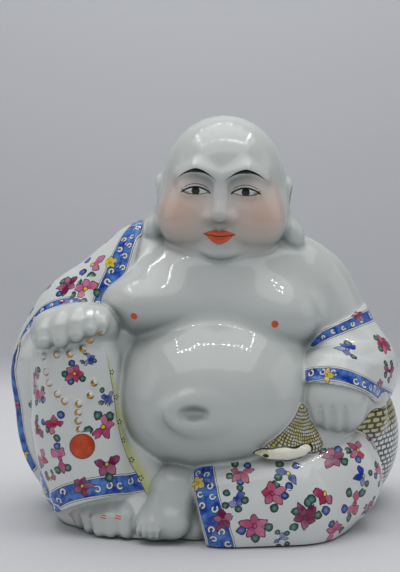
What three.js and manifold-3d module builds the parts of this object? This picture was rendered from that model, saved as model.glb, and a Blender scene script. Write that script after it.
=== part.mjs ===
// A seated Budai in glazed porcelain: one casting, with a bare belly, a robe off one shoulder,
// a hand with beads on the raised knee, and the other hand on the neck of a cloth sack.
// Millimetres, +Z up. The figure faces -Y and stands on z = 0, centred on the origin.
import * as THREE from "three";
import { mergeVertices } from "three/addons/utils/BufferGeometryUtils.js";
import Module from "manifold-3d";

// Driving sizes, in millimetres
const height = 250; // from the table to the top of the head
const gridStep = 2.9; // spacing of the grid that the surface is taken from
const triangleTarget = 9200;

// Pose, proportions and carving are written in hundredths of the height.
const unit = height / 100;

const clamp = (value, low, high) => Math.min(high, Math.max(low, value));
const minus = (a, b) => [a[0] - b[0], a[1] - b[1], a[2] - b[2]];
const plus = (a, b, scale = 1) => [a[0] + b[0] * scale, a[1] + b[1] * scale, a[2] + b[2] * scale];
const dot = (a, b) => a[0] * b[0] + a[1] * b[1] + a[2] * b[2];
const size = (a) => Math.sqrt(dot(a, a));
const unitVector = (a) => a.map((value) => value / size(a));

// A form is a distance function, negative inside, with a ball that holds the form.
// Rows of a turn matrix, from angles in degrees about X, then Y, then Z.
function turnRows([aboutX, aboutY, aboutZ]) {
  const euler = new THREE.Euler(
    THREE.MathUtils.degToRad(aboutX),
    THREE.MathUtils.degToRad(aboutY),
    THREE.MathUtils.degToRad(aboutZ),
    "ZYX",
  );
  const e = new THREE.Matrix4().makeRotationFromEuler(euler).elements;
  return [
    [e[0], e[1], e[2]],
    [e[4], e[5], e[6]],
    [e[8], e[9], e[10]],
  ];
}

function egg(centre, radii, turn = [0, 0, 0]) {
  const rows = turnRows(turn);
  const distance = (p) => {
    const offset = minus(p, centre);
    let near = 0;
    let steep = 0;
    for (let axis = 0; axis < 3; axis++) {
      const along = dot(rows[axis], offset) / radii[axis];
      near += along * along;
      steep += (along * along) / (radii[axis] * radii[axis]);
    }
    if (steep < 1e-12) return -Math.min(...radii);
    near = Math.sqrt(near);
    return (near * (near - 1)) / Math.sqrt(steep);
  };
  return { distance, centre, reach: Math.max(...radii) };
}

// A round limb through points, each with its own radius.
function limb(points, radii) {
  const parts = points.slice(1).map((end, i) => {
    const along = minus(end, points[i]);
    return { start: points[i], along, length2: dot(along, along), r0: radii[i], r1: radii[i + 1] };
  });
  const distance = (p) => {
    let best = Infinity;
    for (const part of parts) {
      const offset = minus(p, part.start);
      const t = clamp(dot(offset, part.along) / part.length2, 0, 1);
      const gap = size(plus(offset, part.along, -t)) - (part.r0 + (part.r1 - part.r0) * t);
      if (gap < best) best = gap;
    }
    return best;
  };
  const centre = [0, 1, 2].map((axis) => {
    const values = points.map((point) => point[axis]);
    return (Math.min(...values) + Math.max(...values)) / 2;
  });
  const reach = Math.max(...points.map((point, i) => size(minus(point, centre)) + radii[i]));
  return { distance, centre, reach };
}

// Everything behind a plane through a point, where the normal points out.
function halfSpace(point, normal) {
  const out = unitVector(normal);
  return { distance: (p) => dot(minus(p, point), out), centre: point, reach: Infinity };
}

// Smooth minimum and maximum: the two meet in a fillet about as wide as soft.
function softMin(a, b, soft) {
  const h = Math.max(soft - Math.abs(a - b), 0);
  return Math.min(a, b) - (h * h) / (4 * soft);
}

const softMax = (a, b, soft) => -softMin(-a, -b, soft);

function ballAround(forms) {
  const centre = [0, 1, 2].map(
    (axis) => forms.reduce((sum, form) => sum + form.centre[axis], 0) / forms.length,
  );
  const reach = Math.max(...forms.map((form) => size(minus(form.centre, centre)) + form.reach));
  return { centre, reach };
}

// Forms joined in a soft union. A form too far away to touch the result is skipped.
function join(soft, ...forms) {
  const distance = (p) => {
    let result = Infinity;
    for (const form of forms) {
      if (size(minus(p, form.centre)) - form.reach > result + soft) continue;
      result = result === Infinity ? form.distance(p) : softMin(result, form.distance(p), soft);
    }
    return result === Infinity ? farDistance(p, forms) : result;
  };
  return { distance, ...ballAround(forms) };
}

const farDistance = (p, forms) =>
  Math.min(...forms.map((form) => size(minus(p, form.centre)) - form.reach));

// A form with cutters taken out of it.
function carve(soft, form, ...cutters) {
  const distance = (p) => {
    let result = form.distance(p);
    for (const cutter of cutters) {
      if (size(minus(p, cutter.centre)) - cutter.reach > soft - result) continue;
      result = softMax(result, -cutter.distance(p), soft);
    }
    return result;
  };
  return { distance, centre: form.centre, reach: form.reach };
}

// The part of a form inside the other one.
function keep(soft, form, other) {
  const distance = (p) => softMax(form.distance(p), other.distance(p), soft);
  return { distance, centre: form.centre, reach: form.reach };
}

function grown(form, by) {
  return { distance: (p) => form.distance(p) - by, centre: form.centre, reach: form.reach + by };
}

// A form turned about a pivot, as the head is on the neck.
function turned(form, pivot, turn) {
  const rows = turnRows(turn);
  const inside = (p) => {
    const offset = minus(p, pivot);
    return plus(pivot, [dot(rows[0], offset), dot(rows[1], offset), dot(rows[2], offset)]);
  };
  return { distance: (p) => form.distance(inside(p)), centre: pivot, reach: form.reach * 2 };
}

function slopeAt(form, p) {
  const step = 0.05;
  const slope = [0, 1, 2].map((axis) => {
    const nudge = [0, 0, 0];
    nudge[axis] = step;
    return form.distance(plus(p, nudge)) - form.distance(plus(p, nudge, -1));
  });
  return size(slope) > 0 ? unitVector(slope) : [0, 0, 1];
}

// Points moved on to a form's surface, then pushed out by lift.
function settle(form, points, lift = 0) {
  return points.map((start) => {
    let p = start;
    for (let pass = 0; pass < 6; pass++) p = plus(p, slopeAt(form, p), -form.distance(p));
    return plus(p, slopeAt(form, p), lift);
  });
}

// A smooth run of points through a few chosen ones.
function smoothRun(points, count) {
  const curve = new THREE.CatmullRomCurve3(points.map((point) => new THREE.Vector3(...point)));
  return curve.getPoints(count).map((point) => point.toArray());
}

// A rib or a crease that follows the surface of a form through a few points.
function welt(form, points, radius, lift, steps = 14) {
  const run = settle(form, smoothRun(points, steps), lift);
  const taper = run.map((_, i) => radius * (0.45 + 0.55 * Math.sin((Math.PI * i) / steps)));
  return limb(run, taper);
}

// An even rib, as along a hem.
function piping(form, points, radius, lift, steps = 22) {
  const run = settle(form, smoothRun(points, steps), lift);
  return limb(run, run.map(() => radius));
}

const mirrored = (make) => [make(-1), make(1)];

// Head, in its own upright frame before it is turned on the neck
const headCentre = [4.8, -1.5, 82];
const headTurn = [0, 1.5, -4];

function makeHead() {
  const [cx, cy] = headCentre;
  const at = (x, y, z) => [cx + x, cy + y, z];
  const skull = join(
    6,
    egg(at(0, 0, 83.4), [15.3, 16, 16.6]),
    egg(at(0, -2.6, 73.6), [15, 12.4, 9.4]),
    ...mirrored((side) => egg(at(side * 8.2, -7.6, 75.2), [5.8, 5.8, 5.4])),
  );
  const brows = mirrored((side) => limb(
    [at(side * 2.2, -15, 85.4), at(side * 6, -14, 86.8), at(side * 9.8, -11.4, 85.4)],
    [1.1, 1.5, 0.9],
  ));
  const sockets = mirrored((side) => egg(at(side * 6, -16.8, 82.6), [4, 2.8, 2.3]));
  const eyes = mirrored((side) => egg(at(side * 6, -12.2, 82.2), [3.6, 3, 2.3]));
  const lidLines = mirrored((side) => limb(
    [at(side * 3.1, -14.9, 81.7), at(side * 6, -15.3, 81.1), at(side * 9, -13.6, 81.8)],
    [0.2, 0.36, 0.2],
  ));
  const nose = join(
    1.2,
    limb([at(0, -14.8, 84.6), at(0, -16.6, 79.6), at(0, -17.6, 76.7)], [1, 1.5, 2]),
    ...mirrored((side) => egg(at(side * 2.2, -15.8, 76), [1.5, 1.8, 1.4])),
  );
  const upperLip = limb(
    [at(-4, -13.9, 72.6), at(-1.3, -15.4, 72.4), at(0, -15.5, 72.1), at(1.3, -15.4, 72.4),
      at(4, -13.9, 72.6)],
    [0.35, 0.85, 0.7, 0.85, 0.35],
  );
  const lowerLip = limb(
    [at(-3.3, -14, 71.7), at(0, -15.2, 70.4), at(3.3, -14, 71.7)],
    [0.4, 1.1, 0.4],
  );
  const chin = egg(at(0, -12.3, 67.6), [4.8, 3.6, 2.9]);
  const throat = egg(at(0, -3.4, 67.6), [13.6, 10.4, 6]);
  const mask = carve(3, join(3, skull, ...brows), ...sockets);
  const features = join(2, mask, ...eyes, nose, chin);
  const mouth = join(0.5, carve(0.8, features, ...lidLines), upperLip, lowerLip);
  return join(1.2, join(1.4, mouth, throat), ...mirrored((side) => makeEar(side, at)));
}

// A long-lobed ear
function makeEar(side, at) {
  const shell = egg(at(side * 14.9, 0.2, 79.2), [2, 3.9, 6.2], [8, side * 6, side * 20]);
  const hollow = egg(at(side * 17, -1.6, 79), [1.4, 2.3, 4], [8, side * 6, side * 20]);
  const neckOfLobe = limb([at(side * 15.2, -1.2, 76), at(side * 17, -1.6, 71.4)], [2, 2.6]);
  const lobe = egg(at(side * 17.5, -1.8, 70.6), [2.9, 3.1, 3.9], [0, side * -14, 0]);
  return join(1.6, carve(0.8, shell, hollow), neckOfLobe, lobe);
}

// Bare trunk
function makeTrunk() {
  const chest = join(
    5,
    egg([2.4, -2, 52], [25, 18, 17]),
    egg([3.5, -3, 62], [20, 12.5, 8.5]),
    egg([-13.5, -10.4, 54.4], [12, 11.6, 7.6]),
    egg([16.4, -9.6, 51], [12.2, 11.4, 9.2]),
  );
  const flanks = egg([2.6, -7.6, 35], [24.6, 20, 20]);
  const belly = join(6, egg([2.2, -12, 31], [24, 22.4, 18.6]), flanks);
  const navel = egg([-2.8, -35, 31.4], [3.4, 2.6, 1.7]);
  const navelRim = egg([-2.8, -32.4, 31.4], [6.4, 1.7, 4]);
  return join(2, chest, carve(1.8, join(3, belly, navelRim), navel));
}

const leftShoulder = egg([13.5, 0.5, 46.5], [26.4, 12.5, 26.2]);
const leftArm = limb([[16, 2, 58], [25, 1.6, 54.4], [36.6, -1.5, 36]], [10.4, 11.8, 10.4]);
const leftForearm = limb([[36.6, -1.5, 36], [31, -14.6, 34]], [10.4, 9.2]);
const rightArm = limb([[-14, 3, 61.2], [-25.2, 2.2, 51.4], [-35.2, -1, 38]], [11.4, 11.6, 11.6]);
const rightForearm = limb([[-35.2, -1, 38], [-31.5, -14, 46]], [10.8, 8]);
const back = egg([0, 7, 28], [40, 24, 38]);

// The robe stands proud of the skin by its thickness. It is open over the chest, the left
// shoulder is bare, and the edge runs behind the neck and down to the left elbow.
const clothThickness = 0.7;
const neckline = halfSpace([-18.6, 0, 61], [1, 0, -0.21]);
const backEdge = halfSpace([0, 10, 60], [0, -1, 0.35]);
const sleeveTop = halfSpace([27.3, -11, 46.6], [-0.44, 0, 1]);
const cuffFace = halfSpace([30, -20, 35.4], [-0.187, -0.453, -1]);

function makeRobe() {
  const shoulders = join(5, back, rightArm, leftArm, leftShoulder, egg([3, 2, 62], [20, 13, 8.6]));
  const covered = { distance: (p) => Math.min(neckline.distance(p), backEdge.distance(p)) };
  const mantle = keep(0.6, grown(shoulders, clothThickness), covered);
  const sleeveFall = egg([-33.6, 2.5, 29.6], [14.6, 14.5, 29.8]);
  const rightSleeve = join(5, rightArm, rightForearm, sleeveFall);
  const sleeve = join(4, leftArm, leftForearm);
  const leftSleeve = keep(0.6, keep(0.6, grown(sleeve, clothThickness + 0.3), sleeveTop), cuffFace);
  return { mantle, rightSleeve, leftSleeve, sleeve };
}

// Raised right leg and folded left leg, both in trousers
function makeLegs() {
  const shin = limb(
    [[-30.8, -15.6, 41.2], [-30.6, -15.6, 26], [-27.2, -14.6, 13]],
    [10.8, 11.8, 13.4],
  );
  const rightThigh = limb([[-29, -12, 34], [-12, 6, 16]], [10, 12]);
  const hem = halfSpace([-26, -28, 9.96], [0.15, -0.5, -1]);
  const lining = limb([[-22.6, -10.6, 48], [-17.6, -13, 28], [-13, -17.6, 13]], [6, 5.6, 7]);
  const rightLeg = keep(1, join(1.6, join(5, shin, rightThigh), lining), hem);
  const lowerLeg = limb([[6, -21, 5.4], [20, -20, 7], [30.6, -14.8, 12.2]], [15.2, 15.2, 13]);
  const leftThigh = limb([[10, 0, 14], [30, -8, 12.6]], [13, 11.6]);
  const ankleEnd = halfSpace([-2.6, -28, 12], [-1, 0, -0.24]);
  const leftLeg = keep(1.2, join(5, lowerLeg, leftThigh), ankleEnd);
  return { rightLeg, leftLeg };
}

// A row of fingers or toes, from knuckle to tip
function digits(rows) {
  return rows.map(([knuckle, joint, tip, radius]) =>
    limb([knuckle, joint, tip], [radius, radius * 1.02, radius * 0.86]),
  );
}

function makeFeet() {
  const rightToes = digits([
    [[-29.8, -16.5, 5.4], [-30.4, -18.8, 3.8], [-30.1, -19.4, 1.8], 1.8],
    [[-27.4, -19.6, 5.8], [-27.9, -22.6, 4], [-27.6, -23.2, 1.8], 1.9],
    [[-25, -22, 6.2], [-25.4, -25.4, 4.2], [-25.1, -26, 1.8], 1.9],
    [[-22.3, -22.8, 6.6], [-22.7, -26.4, 4.6], [-22.4, -27, 1.9], 2],
    [[-18.4, -22.6, 7], [-18.8, -26.8, 5], [-18.6, -27.6, 2.3], 2.5],
  ]);
  const heel = join(4, egg([-23, -15, 5], [10.4, 9.6, 6.4]), egg([-20.8, -18.4, 6], [7, 6.6, 5]));
  const leftToes = digits([
    [[-15, -30.8, 4.8], [-15.6, -31.7, 3.4], [-15.7, -31.3, 2.2], 0.65],
    [[-13.7, -31.8, 5], [-14.2, -32.8, 3.5], [-14.3, -32.4, 2.2], 0.65],
    [[-12.3, -32.4, 5.1], [-12.7, -33.3, 3.6], [-12.8, -32.9, 2.2], 0.65],
    [[-10.9, -32.6, 5.2], [-11.2, -33.5, 3.6], [-11.3, -33.1, 2.2], 0.65],
  ]);
  const forefoot = egg([-12, -28.4, 3.8], [4.7, 4.9, 3.7]);
  const ball = limb([[-6.4, -26.2, 9.8], [-7.6, -29.8, 4.9]], [3.4, 4.3]);
  const ankle = join(
    3,
    limb([[-4, -21, 13], [-6.6, -24.6, 10.8], [-8.6, -26, 6.4]], [6.8, 6.6, 5.6]),
    egg([-2.4, -24.8, 2.6], [5, 5.2, 5]),
    forefoot,
  );
  return join(1, join(1.4, heel, ...rightToes), join(0.5, join(1.2, ankle, ball), ...leftToes));
}

function makeHands() {
  const rightFingers = digits([
    [[-37, -20, 50.4], [-38, -23, 48.8], [-37.8, -24.6, 47], 2.1],
    [[-33.8, -20.6, 51.8], [-34.3, -24, 50], [-34, -25.7, 47.5], 2.2],
    [[-30.4, -20.8, 52.6], [-30.7, -24.2, 51], [-30.4, -25.7, 48.7], 2.1],
    [[-27.2, -20.4, 52.9], [-27.4, -23.6, 51.6], [-27.1, -25, 49.9], 1.95],
    [[-24.4, -19.6, 52.6], [-24.5, -22.4, 51.6], [-24.3, -23.4, 50.8], 1.8],
  ]);
  const rightPalm = join(
    3,
    egg([-31.6, -17.4, 49.6], [9.4, 8.2, 5.6], [0, -10, 0]),
    egg([-37.8, -18, 48], [3.8, 5.6, 4.6]),
    egg([-25.6, -17, 50], [5, 6.4, 4]),
  );
  const underPalm = egg([-30.6, -14.6, 46.6], [9.6, 9.4, 6]);
  const leftPalm = join(3, egg([30.6, -18, 31.4], [8.4, 8, 6.8]), egg([30.4, -18.4, 27.6], [7.2, 7, 4]));
  const leftWrist = join(
    3,
    limb([[31, -14.6, 35], [31, -16, 31]], [9.3, 8.4]),
    limb([[33, -13, 33], [39, -8, 31]], [7.4, 6.4]),
  );
  const underFist = egg([27, -17, 22.8], [9, 8, 6.4]);
  const fist = join(1.6, leftPalm, leftWrist);
  const grooves = [27.1, 30.1, 33.3].map((x) =>
    welt(fist, [[x, -26, 31.2], [x + 0.1, -26, 28], [x - 0.1, -24, 24.6]], 0.6, 0.25),
  );
  return {
    rightHand: join(1.1, join(2, rightPalm, underPalm), ...rightFingers),
    leftHand: join(0.7, carve(1.2, fist, ...grooves), underFist),
  };
}

// A cloth sack: its body lies behind the left knee, and its mouth sticks out under the fist.
function makeSack() {
  const bag = egg([37.4, 6, 17.6], [13, 19, 17.5], [0, 0, -8]);
  const pleat = limb([[38, -8, 26], [32, -17, 29]], [7.5, 4]);
  const knot = [22.8, -23.8, 30.4];
  const cone = join(
    2,
    limb([knot, [15.6, -27.8, 22]], [0.6, 2.1]),
    limb([knot, [20.2, -26.6, 22.2]], [0.6, 3]),
    limb([knot, [25.2, -24.8, 22.6]], [0.6, 2.7]),
  );
  const lip = limb(
    [[12, -29.2, 21.4], [15, -29.6, 21.1], [19, -29.4, 21.1], [22.8, -28.2, 21.5], [25.8, -25.8, 22.6]],
    [0.4, 1.2, 1.5, 1.3, 0.7],
  );
  return join(0.8, join(3, bag, pleat), join(0.8, cone, lip));
}

// Hems, cuffs and folds that lie on the cloth
function dressCloth(robe, legs, body) {
  const { mantle, rightSleeve, leftSleeve, sleeve } = robe;
  const neckEdge = piping(
    mantle,
    [[-16.5, 0, 73], [-17.5, -9, 67], [-19.4, -14, 61], [-21.4, -17, 55], [-22.4, -18.4, 50.6]],
    0.8,
    0,
  );
  const collar = piping(
    mantle,
    [[-16, 1, 73], [-13, 9, 71.4], [-4, 15, 69.4], [8, 16, 68], [19, 13.6, 65], [28, 11.4, 58.6],
      [36, 9.4, 50.6], [41, 7.6, 43]],
    0.8,
    0,
    30,
  );
  const rightCuff = piping(
    rightSleeve,
    [[-21.5, -19, 53.6], [-28, -18.4, 56], [-36, -14.8, 54.4], [-43, -9.4, 48.4],
      [-47, -6, 38], [-48.4, -5, 27], [-48, -4.6, 16], [-45.4, -7.6, 7]],
    1.1,
    0,
  );
  const leftCuff = piping(
    sleeve,
    [[22.4, -18, 36], [26, -22, 37.2], [31, -24, 37], [36.4, -22.6, 35.4], [41, -17.6, 32.4],
      [44.6, -9.6, 28]],
    0.5,
    clothThickness,
  );
  const sleeveFolds = [
    welt(leftSleeve, [[27, -16, 41.6], [36, -14.6, 43], [45, -6, 44.4]], 2.2, -1.6),
    welt(leftSleeve, [[27, -18, 39.6], [37, -17, 39.4], [46, -8, 38.6]], 2.2, -1.6),
    welt(leftSleeve, [[40, 8, 45], [45, 4, 38], [46, 2, 30]], 2, -1.4),
  ];
  const trouserHem = piping(
    legs.rightLeg,
    [[-38.6, -15, 2.2], [-36.4, -20, 4.4], [-32.6, -25, 7.6], [-27, -28, 9.8], [-20, -28, 10.8],
      [-14, -24, 9.8]],
    0.7,
    0,
  );
  const backFolds = [
    welt(body, [[-30, 20, 50], [-34, 24, 34], [-30, 28, 12]], 1.5, -0.4),
    welt(body, [[-12, 24, 52], [-16, 30, 32], [-12, 31, 8]], 1.6, -0.5),
    welt(body, [[8, 24, 50], [8, 31, 30], [14, 31, 8]], 1.6, -0.5),
    welt(body, [[26, 20, 44], [27, 27, 28], [30, 28, 10]], 1.4, -0.4),
  ];
  return [neckEdge, collar, rightCuff, leftCuff, trouserHem, ...sleeveFolds, ...backFolds];
}

// The string of beads under the right hand, with its round pendant
function makeBeads(legs) {
  const loop = [
    [-24, -26, 47.6], [-26.6, -27, 46], [-29.4, -28, 44.4], [-33, -28, 43.6], [-36.8, -26, 43.4],
    [-38.4, -24, 41], [-38, -24, 38.4], [-36.6, -26, 36], [-34.4, -27, 33.8], [-31.2, -28, 32.6],
    [-28, -28, 33.4], [-25.4, -27, 35.6], [-24.4, -26, 38.4],
    [-29.2, -28, 30.6], [-29.2, -28, 28.6], [-28.8, -28, 26.6],
  ];
  const spots = settle(legs.rightLeg, loop);
  return spots.map((spot) => egg(spot, [0.75, 0.75, 0.75]));
}

function makeFigure() {
  const trunk = makeTrunk();
  const robe = makeRobe();
  const legs = makeLegs();
  const hands = makeHands();
  const neck = limb([[4, 0, 70], [3, 1, 60]], [11.5, 14]);
  const skin = join(2, join(3.5, join(4, trunk, leftArm, leftShoulder), neck), back);
  const head = turned(makeHead(), headCentre, headTurn);
  const seat = join(
    3,
    egg([-1, 4, 6], [36, 26, 12]),
    egg([-13, -15, 3], [17, 14, 9]),
    egg([-26, -8, 2.6], [11.5, 12.6, 6.5]),
  );
  const cloth = join(
    2,
    join(2.5, robe.mantle, robe.rightSleeve, seat),
    legs.rightLeg,
    legs.leftLeg,
    robe.leftSleeve,
  );
  const body = join(1.5, skin, cloth);
  const details = [
    head,
    makeSack(),
    makeFeet(),
    hands.rightHand,
    hands.leftHand,
    ...dressCloth(robe, legs, body),
    ...makeBeads(legs),
  ];
  return keep(0.3, join(0.8, body, ...details), halfSpace([0, 0, -2.5], [0, 0, -1]));
}

// Surface of a form on a regular grid, cut cell by cell into tetrahedra, so that it is closed.
const gridLow = [-56, -42, -4];
const gridHigh = [58, 40, 104];
const tetrahedra = [
  [0, 1, 3, 7], [0, 1, 5, 7], [0, 2, 3, 7], [0, 2, 6, 7], [0, 4, 5, 7], [0, 4, 6, 7],
];

function surfaceOf(form, step) {
  const counts = gridLow.map((low, axis) => Math.ceil((gridHigh[axis] - low) / step) + 1);
  const stride = [1, counts[0], counts[0] * counts[1]];
  const place = (index) => [
    gridLow[0] + (index % counts[0]) * step,
    gridLow[1] + (Math.floor(index / stride[1]) % counts[1]) * step,
    gridLow[2] + Math.floor(index / stride[2]) * step,
  ];
  const values = new Float64Array(counts[0] * counts[1] * counts[2]);
  for (let index = 0; index < values.length; index++) {
    values[index] = form.distance(place(index)) || 1e-9;
  }
  const positions = [];
  const triangles = [];
  const crossings = new Map();
  const crossing = (a, b) => {
    const [low, high] = a < b ? [a, b] : [b, a];
    const key = low * 8 + edgeKind(high - low, stride);
    let vertex = crossings.get(key);
    if (vertex === undefined) {
      const t = clamp(values[low] / (values[low] - values[high]), 0.02, 0.98);
      const start = place(low);
      vertex = positions.length;
      positions.push(plus(start, minus(place(high), start), t));
      crossings.set(key, vertex);
    }
    return vertex;
  };
  const addTriangle = (a, b, c, inside) => {
    const normal = crossProduct(minus(positions[b], positions[a]), minus(positions[c], positions[a]));
    const outward = dot(normal, minus(positions[a], inside)) > 0;
    triangles.push(outward ? [a, b, c] : [a, c, b]);
  };
  for (let k = 0; k < counts[2] - 1; k++)
    for (let j = 0; j < counts[1] - 1; j++)
      for (let i = 0; i < counts[0] - 1; i++) {
        const corner = i + j * stride[1] + k * stride[2];
        cutCell(corner, stride, values, place, crossing, addTriangle);
      }
  return { positions, triangles };
}

const crossProduct = (a, b) => [
  a[1] * b[2] - a[2] * b[1],
  a[2] * b[0] - a[0] * b[2],
  a[0] * b[1] - a[1] * b[0],
];

// Which of a cell's seven edge directions a step between two grid points is
function edgeKind(step, stride) {
  const steps = [];
  for (let bits = 1; bits < 8; bits++) {
    steps.push((bits & 1) * stride[0] + ((bits >> 1) & 1) * stride[1] + (bits >> 2) * stride[2]);
  }
  return steps.indexOf(step);
}

function cutCell(corner, stride, values, place, crossing, addTriangle) {
  const corners = [];
  let insideCount = 0;
  for (let bits = 0; bits < 8; bits++) {
    const index =
      corner + (bits & 1) * stride[0] + ((bits >> 1) & 1) * stride[1] + (bits >> 2) * stride[2];
    corners.push(index);
    if (values[index] < 0) insideCount++;
  }
  if (insideCount === 0 || insideCount === 8) return;
  for (const tetrahedron of tetrahedra) {
    const points = tetrahedron.map((bits) => corners[bits]);
    const inside = points.filter((index) => values[index] < 0);
    const outside = points.filter((index) => values[index] >= 0);
    if (inside.length === 0 || outside.length === 0) continue;
    const anchor = place(inside[0]);
    if (inside.length === 1) {
      const [a, b, c] = outside.map((index) => crossing(inside[0], index));
      addTriangle(a, b, c, anchor);
    } else if (outside.length === 1) {
      const [a, b, c] = inside.map((index) => crossing(index, outside[0]));
      addTriangle(a, b, c, anchor);
    } else {
      const a = crossing(inside[0], outside[0]);
      const b = crossing(inside[0], outside[1]);
      const c = crossing(inside[1], outside[1]);
      const d = crossing(inside[1], outside[0]);
      addTriangle(a, b, c, anchor);
      addTriangle(a, c, d, anchor);
    }
  }
}

// Evens out the steps that the grid leaves, without shrinking the surface.
function relax({ positions, triangles }, passes) {
  const around = positions.map(() => new Set());
  for (const [a, b, c] of triangles) {
    around[a].add(b).add(c);
    around[b].add(a).add(c);
    around[c].add(a).add(b);
  }
  for (let pass = 0; pass < 2 * passes; pass++) {
    const share = pass % 2 === 0 ? 0.55 : -0.57;
    positions = positions.map((position, vertex) => {
      let sum = [0, 0, 0];
      for (const other of around[vertex]) sum = plus(sum, positions[other]);
      return plus(position, minus(sum.map((value) => value / around[vertex].size), position), share);
    });
  }
  return { positions, triangles };
}

// A heap of edges, cheapest first
class EdgeHeap {
  constructor() {
    this.items = [];
  }

  push(item) {
    const items = this.items;
    let i = items.push(item) - 1;
    while (i > 0) {
      const parent = (i - 1) >> 1;
      if (items[parent].cost <= item.cost) break;
      items[i] = items[parent];
      i = parent;
    }
    items[i] = item;
  }

  pop() {
    const items = this.items;
    const top = items[0];
    const last = items.pop();
    if (items.length === 0) return top;
    let i = 0;
    for (;;) {
      let child = 2 * i + 1;
      if (child >= items.length) break;
      if (child + 1 < items.length && items[child + 1].cost < items[child].cost) child++;
      if (items[child].cost >= last.cost) break;
      items[i] = items[child];
      i = child;
    }
    items[i] = last;
    return top;
  }
}

// Edges are collapsed, least change of shape first, until few enough triangles are left.
// Each vertex keeps the planes of its triangles as a quadric of ten numbers.
function simplify({ positions, triangles }, target, weightAt) {
  const quadrics = positions.map(() => new Float64Array(10));
  const facesOf = positions.map(() => new Set());
  const stamps = new Uint32Array(positions.length);
  triangles.forEach((triangle, face) => {
    const [a, b, c] = triangle.map((vertex) => positions[vertex]);
    const normal = crossProduct(minus(b, a), minus(c, a));
    const area = size(normal);
    if (area > 1e-12) {
      const plane = [...normal.map((value) => value / area), 0];
      plane[3] = -dot(plane, a);
      const weight = area * weightAt(a);
      for (const vertex of triangle) {
        let slot = 0;
        for (let i = 0; i < 4; i++)
          for (let j = i; j < 4; j++) quadrics[vertex][slot++] += plane[i] * plane[j] * weight;
      }
    }
    for (const vertex of triangle) facesOf[vertex].add(face);
  });
  const neighboursOf = (vertex) => {
    const found = new Set();
    for (const face of facesOf[vertex])
      for (const other of triangles[face]) if (other !== vertex) found.add(other);
    return found;
  };
  const heap = new EdgeHeap();
  const offer = (a, b) => {
    const q = quadrics[a].map((value, i) => value + quadrics[b][i]);
    const spot = bestSpot(q, positions[a], positions[b]);
    const length = size(minus(positions[a], positions[b]));
    const cost = quadricCost(q, spot) + length * length * 1e-5;
    heap.push({ cost, a, b, spot, q, stampA: stamps[a], stampB: stamps[b] });
  };
  positions.forEach((_, a) => {
    for (const b of neighboursOf(a)) if (a < b) offer(a, b);
  });
  let left = triangles.length;
  while (left > target && heap.items.length) {
    const { a, b, spot, q, stampA, stampB } = heap.pop();
    if (stamps[a] !== stampA || stamps[b] !== stampB) continue;
    const shared = [...facesOf[a]].filter((face) => facesOf[b].has(face));
    const around = neighboursOf(a);
    const common = [...neighboursOf(b)].filter((vertex) => around.has(vertex));
    if (shared.length !== 2 || common.length !== 2) continue;
    if (turnsOver(a, b, spot, shared) || turnsOver(b, a, spot, shared)) continue;
    for (const face of shared) {
      for (const vertex of triangles[face]) facesOf[vertex].delete(face);
      triangles[face] = null;
      left--;
    }
    for (const face of facesOf[b]) {
      triangles[face] = triangles[face].map((vertex) => (vertex === b ? a : vertex));
      facesOf[a].add(face);
    }
    facesOf[b].clear();
    positions[a] = spot;
    quadrics[a] = q;
    stamps[b]++;
    stamps[a]++;
    for (const vertex of neighboursOf(a)) offer(a, vertex);
  }
  return { positions, triangles: triangles.filter(Boolean) };

  // Whether moving a vertex to the spot would fold one of its other triangles over
  function turnsOver(vertex, other, spot, shared) {
    for (const face of facesOf[vertex]) {
      if (shared.includes(face)) continue;
      const before = triangles[face].map((index) => positions[index]);
      const after = triangles[face].map((index) => (index === vertex ? spot : positions[index]));
      const n0 = crossProduct(minus(before[1], before[0]), minus(before[2], before[0]));
      const n1 = crossProduct(minus(after[1], after[0]), minus(after[2], after[0]));
      if (dot(n0, n1) < 0.25 * size(n0) * size(n1) || size(n1) < 1e-4) return true;
    }
    return false;
  }
}

function quadricCost(q, [x, y, z]) {
  return (
    q[0] * x * x + 2 * q[1] * x * y + 2 * q[2] * x * z + 2 * q[3] * x +
    q[4] * y * y + 2 * q[5] * y * z + 2 * q[6] * y + q[7] * z * z + 2 * q[8] * z + q[9]
  );
}

// The point of least cost, or the middle of the edge where the planes don't fix one
function bestSpot(q, a, b) {
  const middle = plus(a, minus(b, a), 0.5);
  const rows = [[q[0], q[1], q[2]], [q[1], q[4], q[5]], [q[2], q[5], q[7]]];
  const volume = dot(rows[0], crossProduct(rows[1], rows[2]));
  const scale = (q[0] + q[4] + q[7]) ** 3;
  if (Math.abs(volume) < scale * 1e-5) return middle;
  const right = [-q[3], -q[6], -q[8]];
  const solve = (axis) => {
    const replaced = rows.map((row, i) => row.map((value, j) => (j === axis ? right[i] : value)));
    return dot(replaced[0], crossProduct(replaced[1], replaced[2])) / volume;
  };
  const spot = [solve(0), solve(1), solve(2)];
  return size(minus(spot, middle)) < 2 * size(minus(a, b)) ? spot : middle;
}

// Faces, hands and feet keep smaller triangles than the broad cloth.
function detailWeight(p) {
  const inHead = p[2] > 64 && p[1] < 4 && Math.abs(p[0] - headCentre[0]) < 22;
  const inHands = p[1] < -19 && p[2] > 18 && Math.abs(p[0]) > 12 && p[2] < 57;
  const inFeet = p[1] < -20 && p[2] < 9 && p[0] < -2;
  return inHead || inHands || inFeet ? 6 : 1;
}

const wasm = await Module();
wasm.setup();

function solidFrom(vertProperties, triVerts) {
  return new wasm.Manifold(new wasm.Mesh({ numProp: 3, vertProperties, triVerts }));
}

function solidFromGeometry(source) {
  const geometry = source.clone();
  geometry.deleteAttribute("normal");
  geometry.deleteAttribute("uv");
  const merged = mergeVertices(geometry, 1e-4);
  return solidFrom(merged.attributes.position.array, new Uint32Array(merged.index.array));
}

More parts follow.
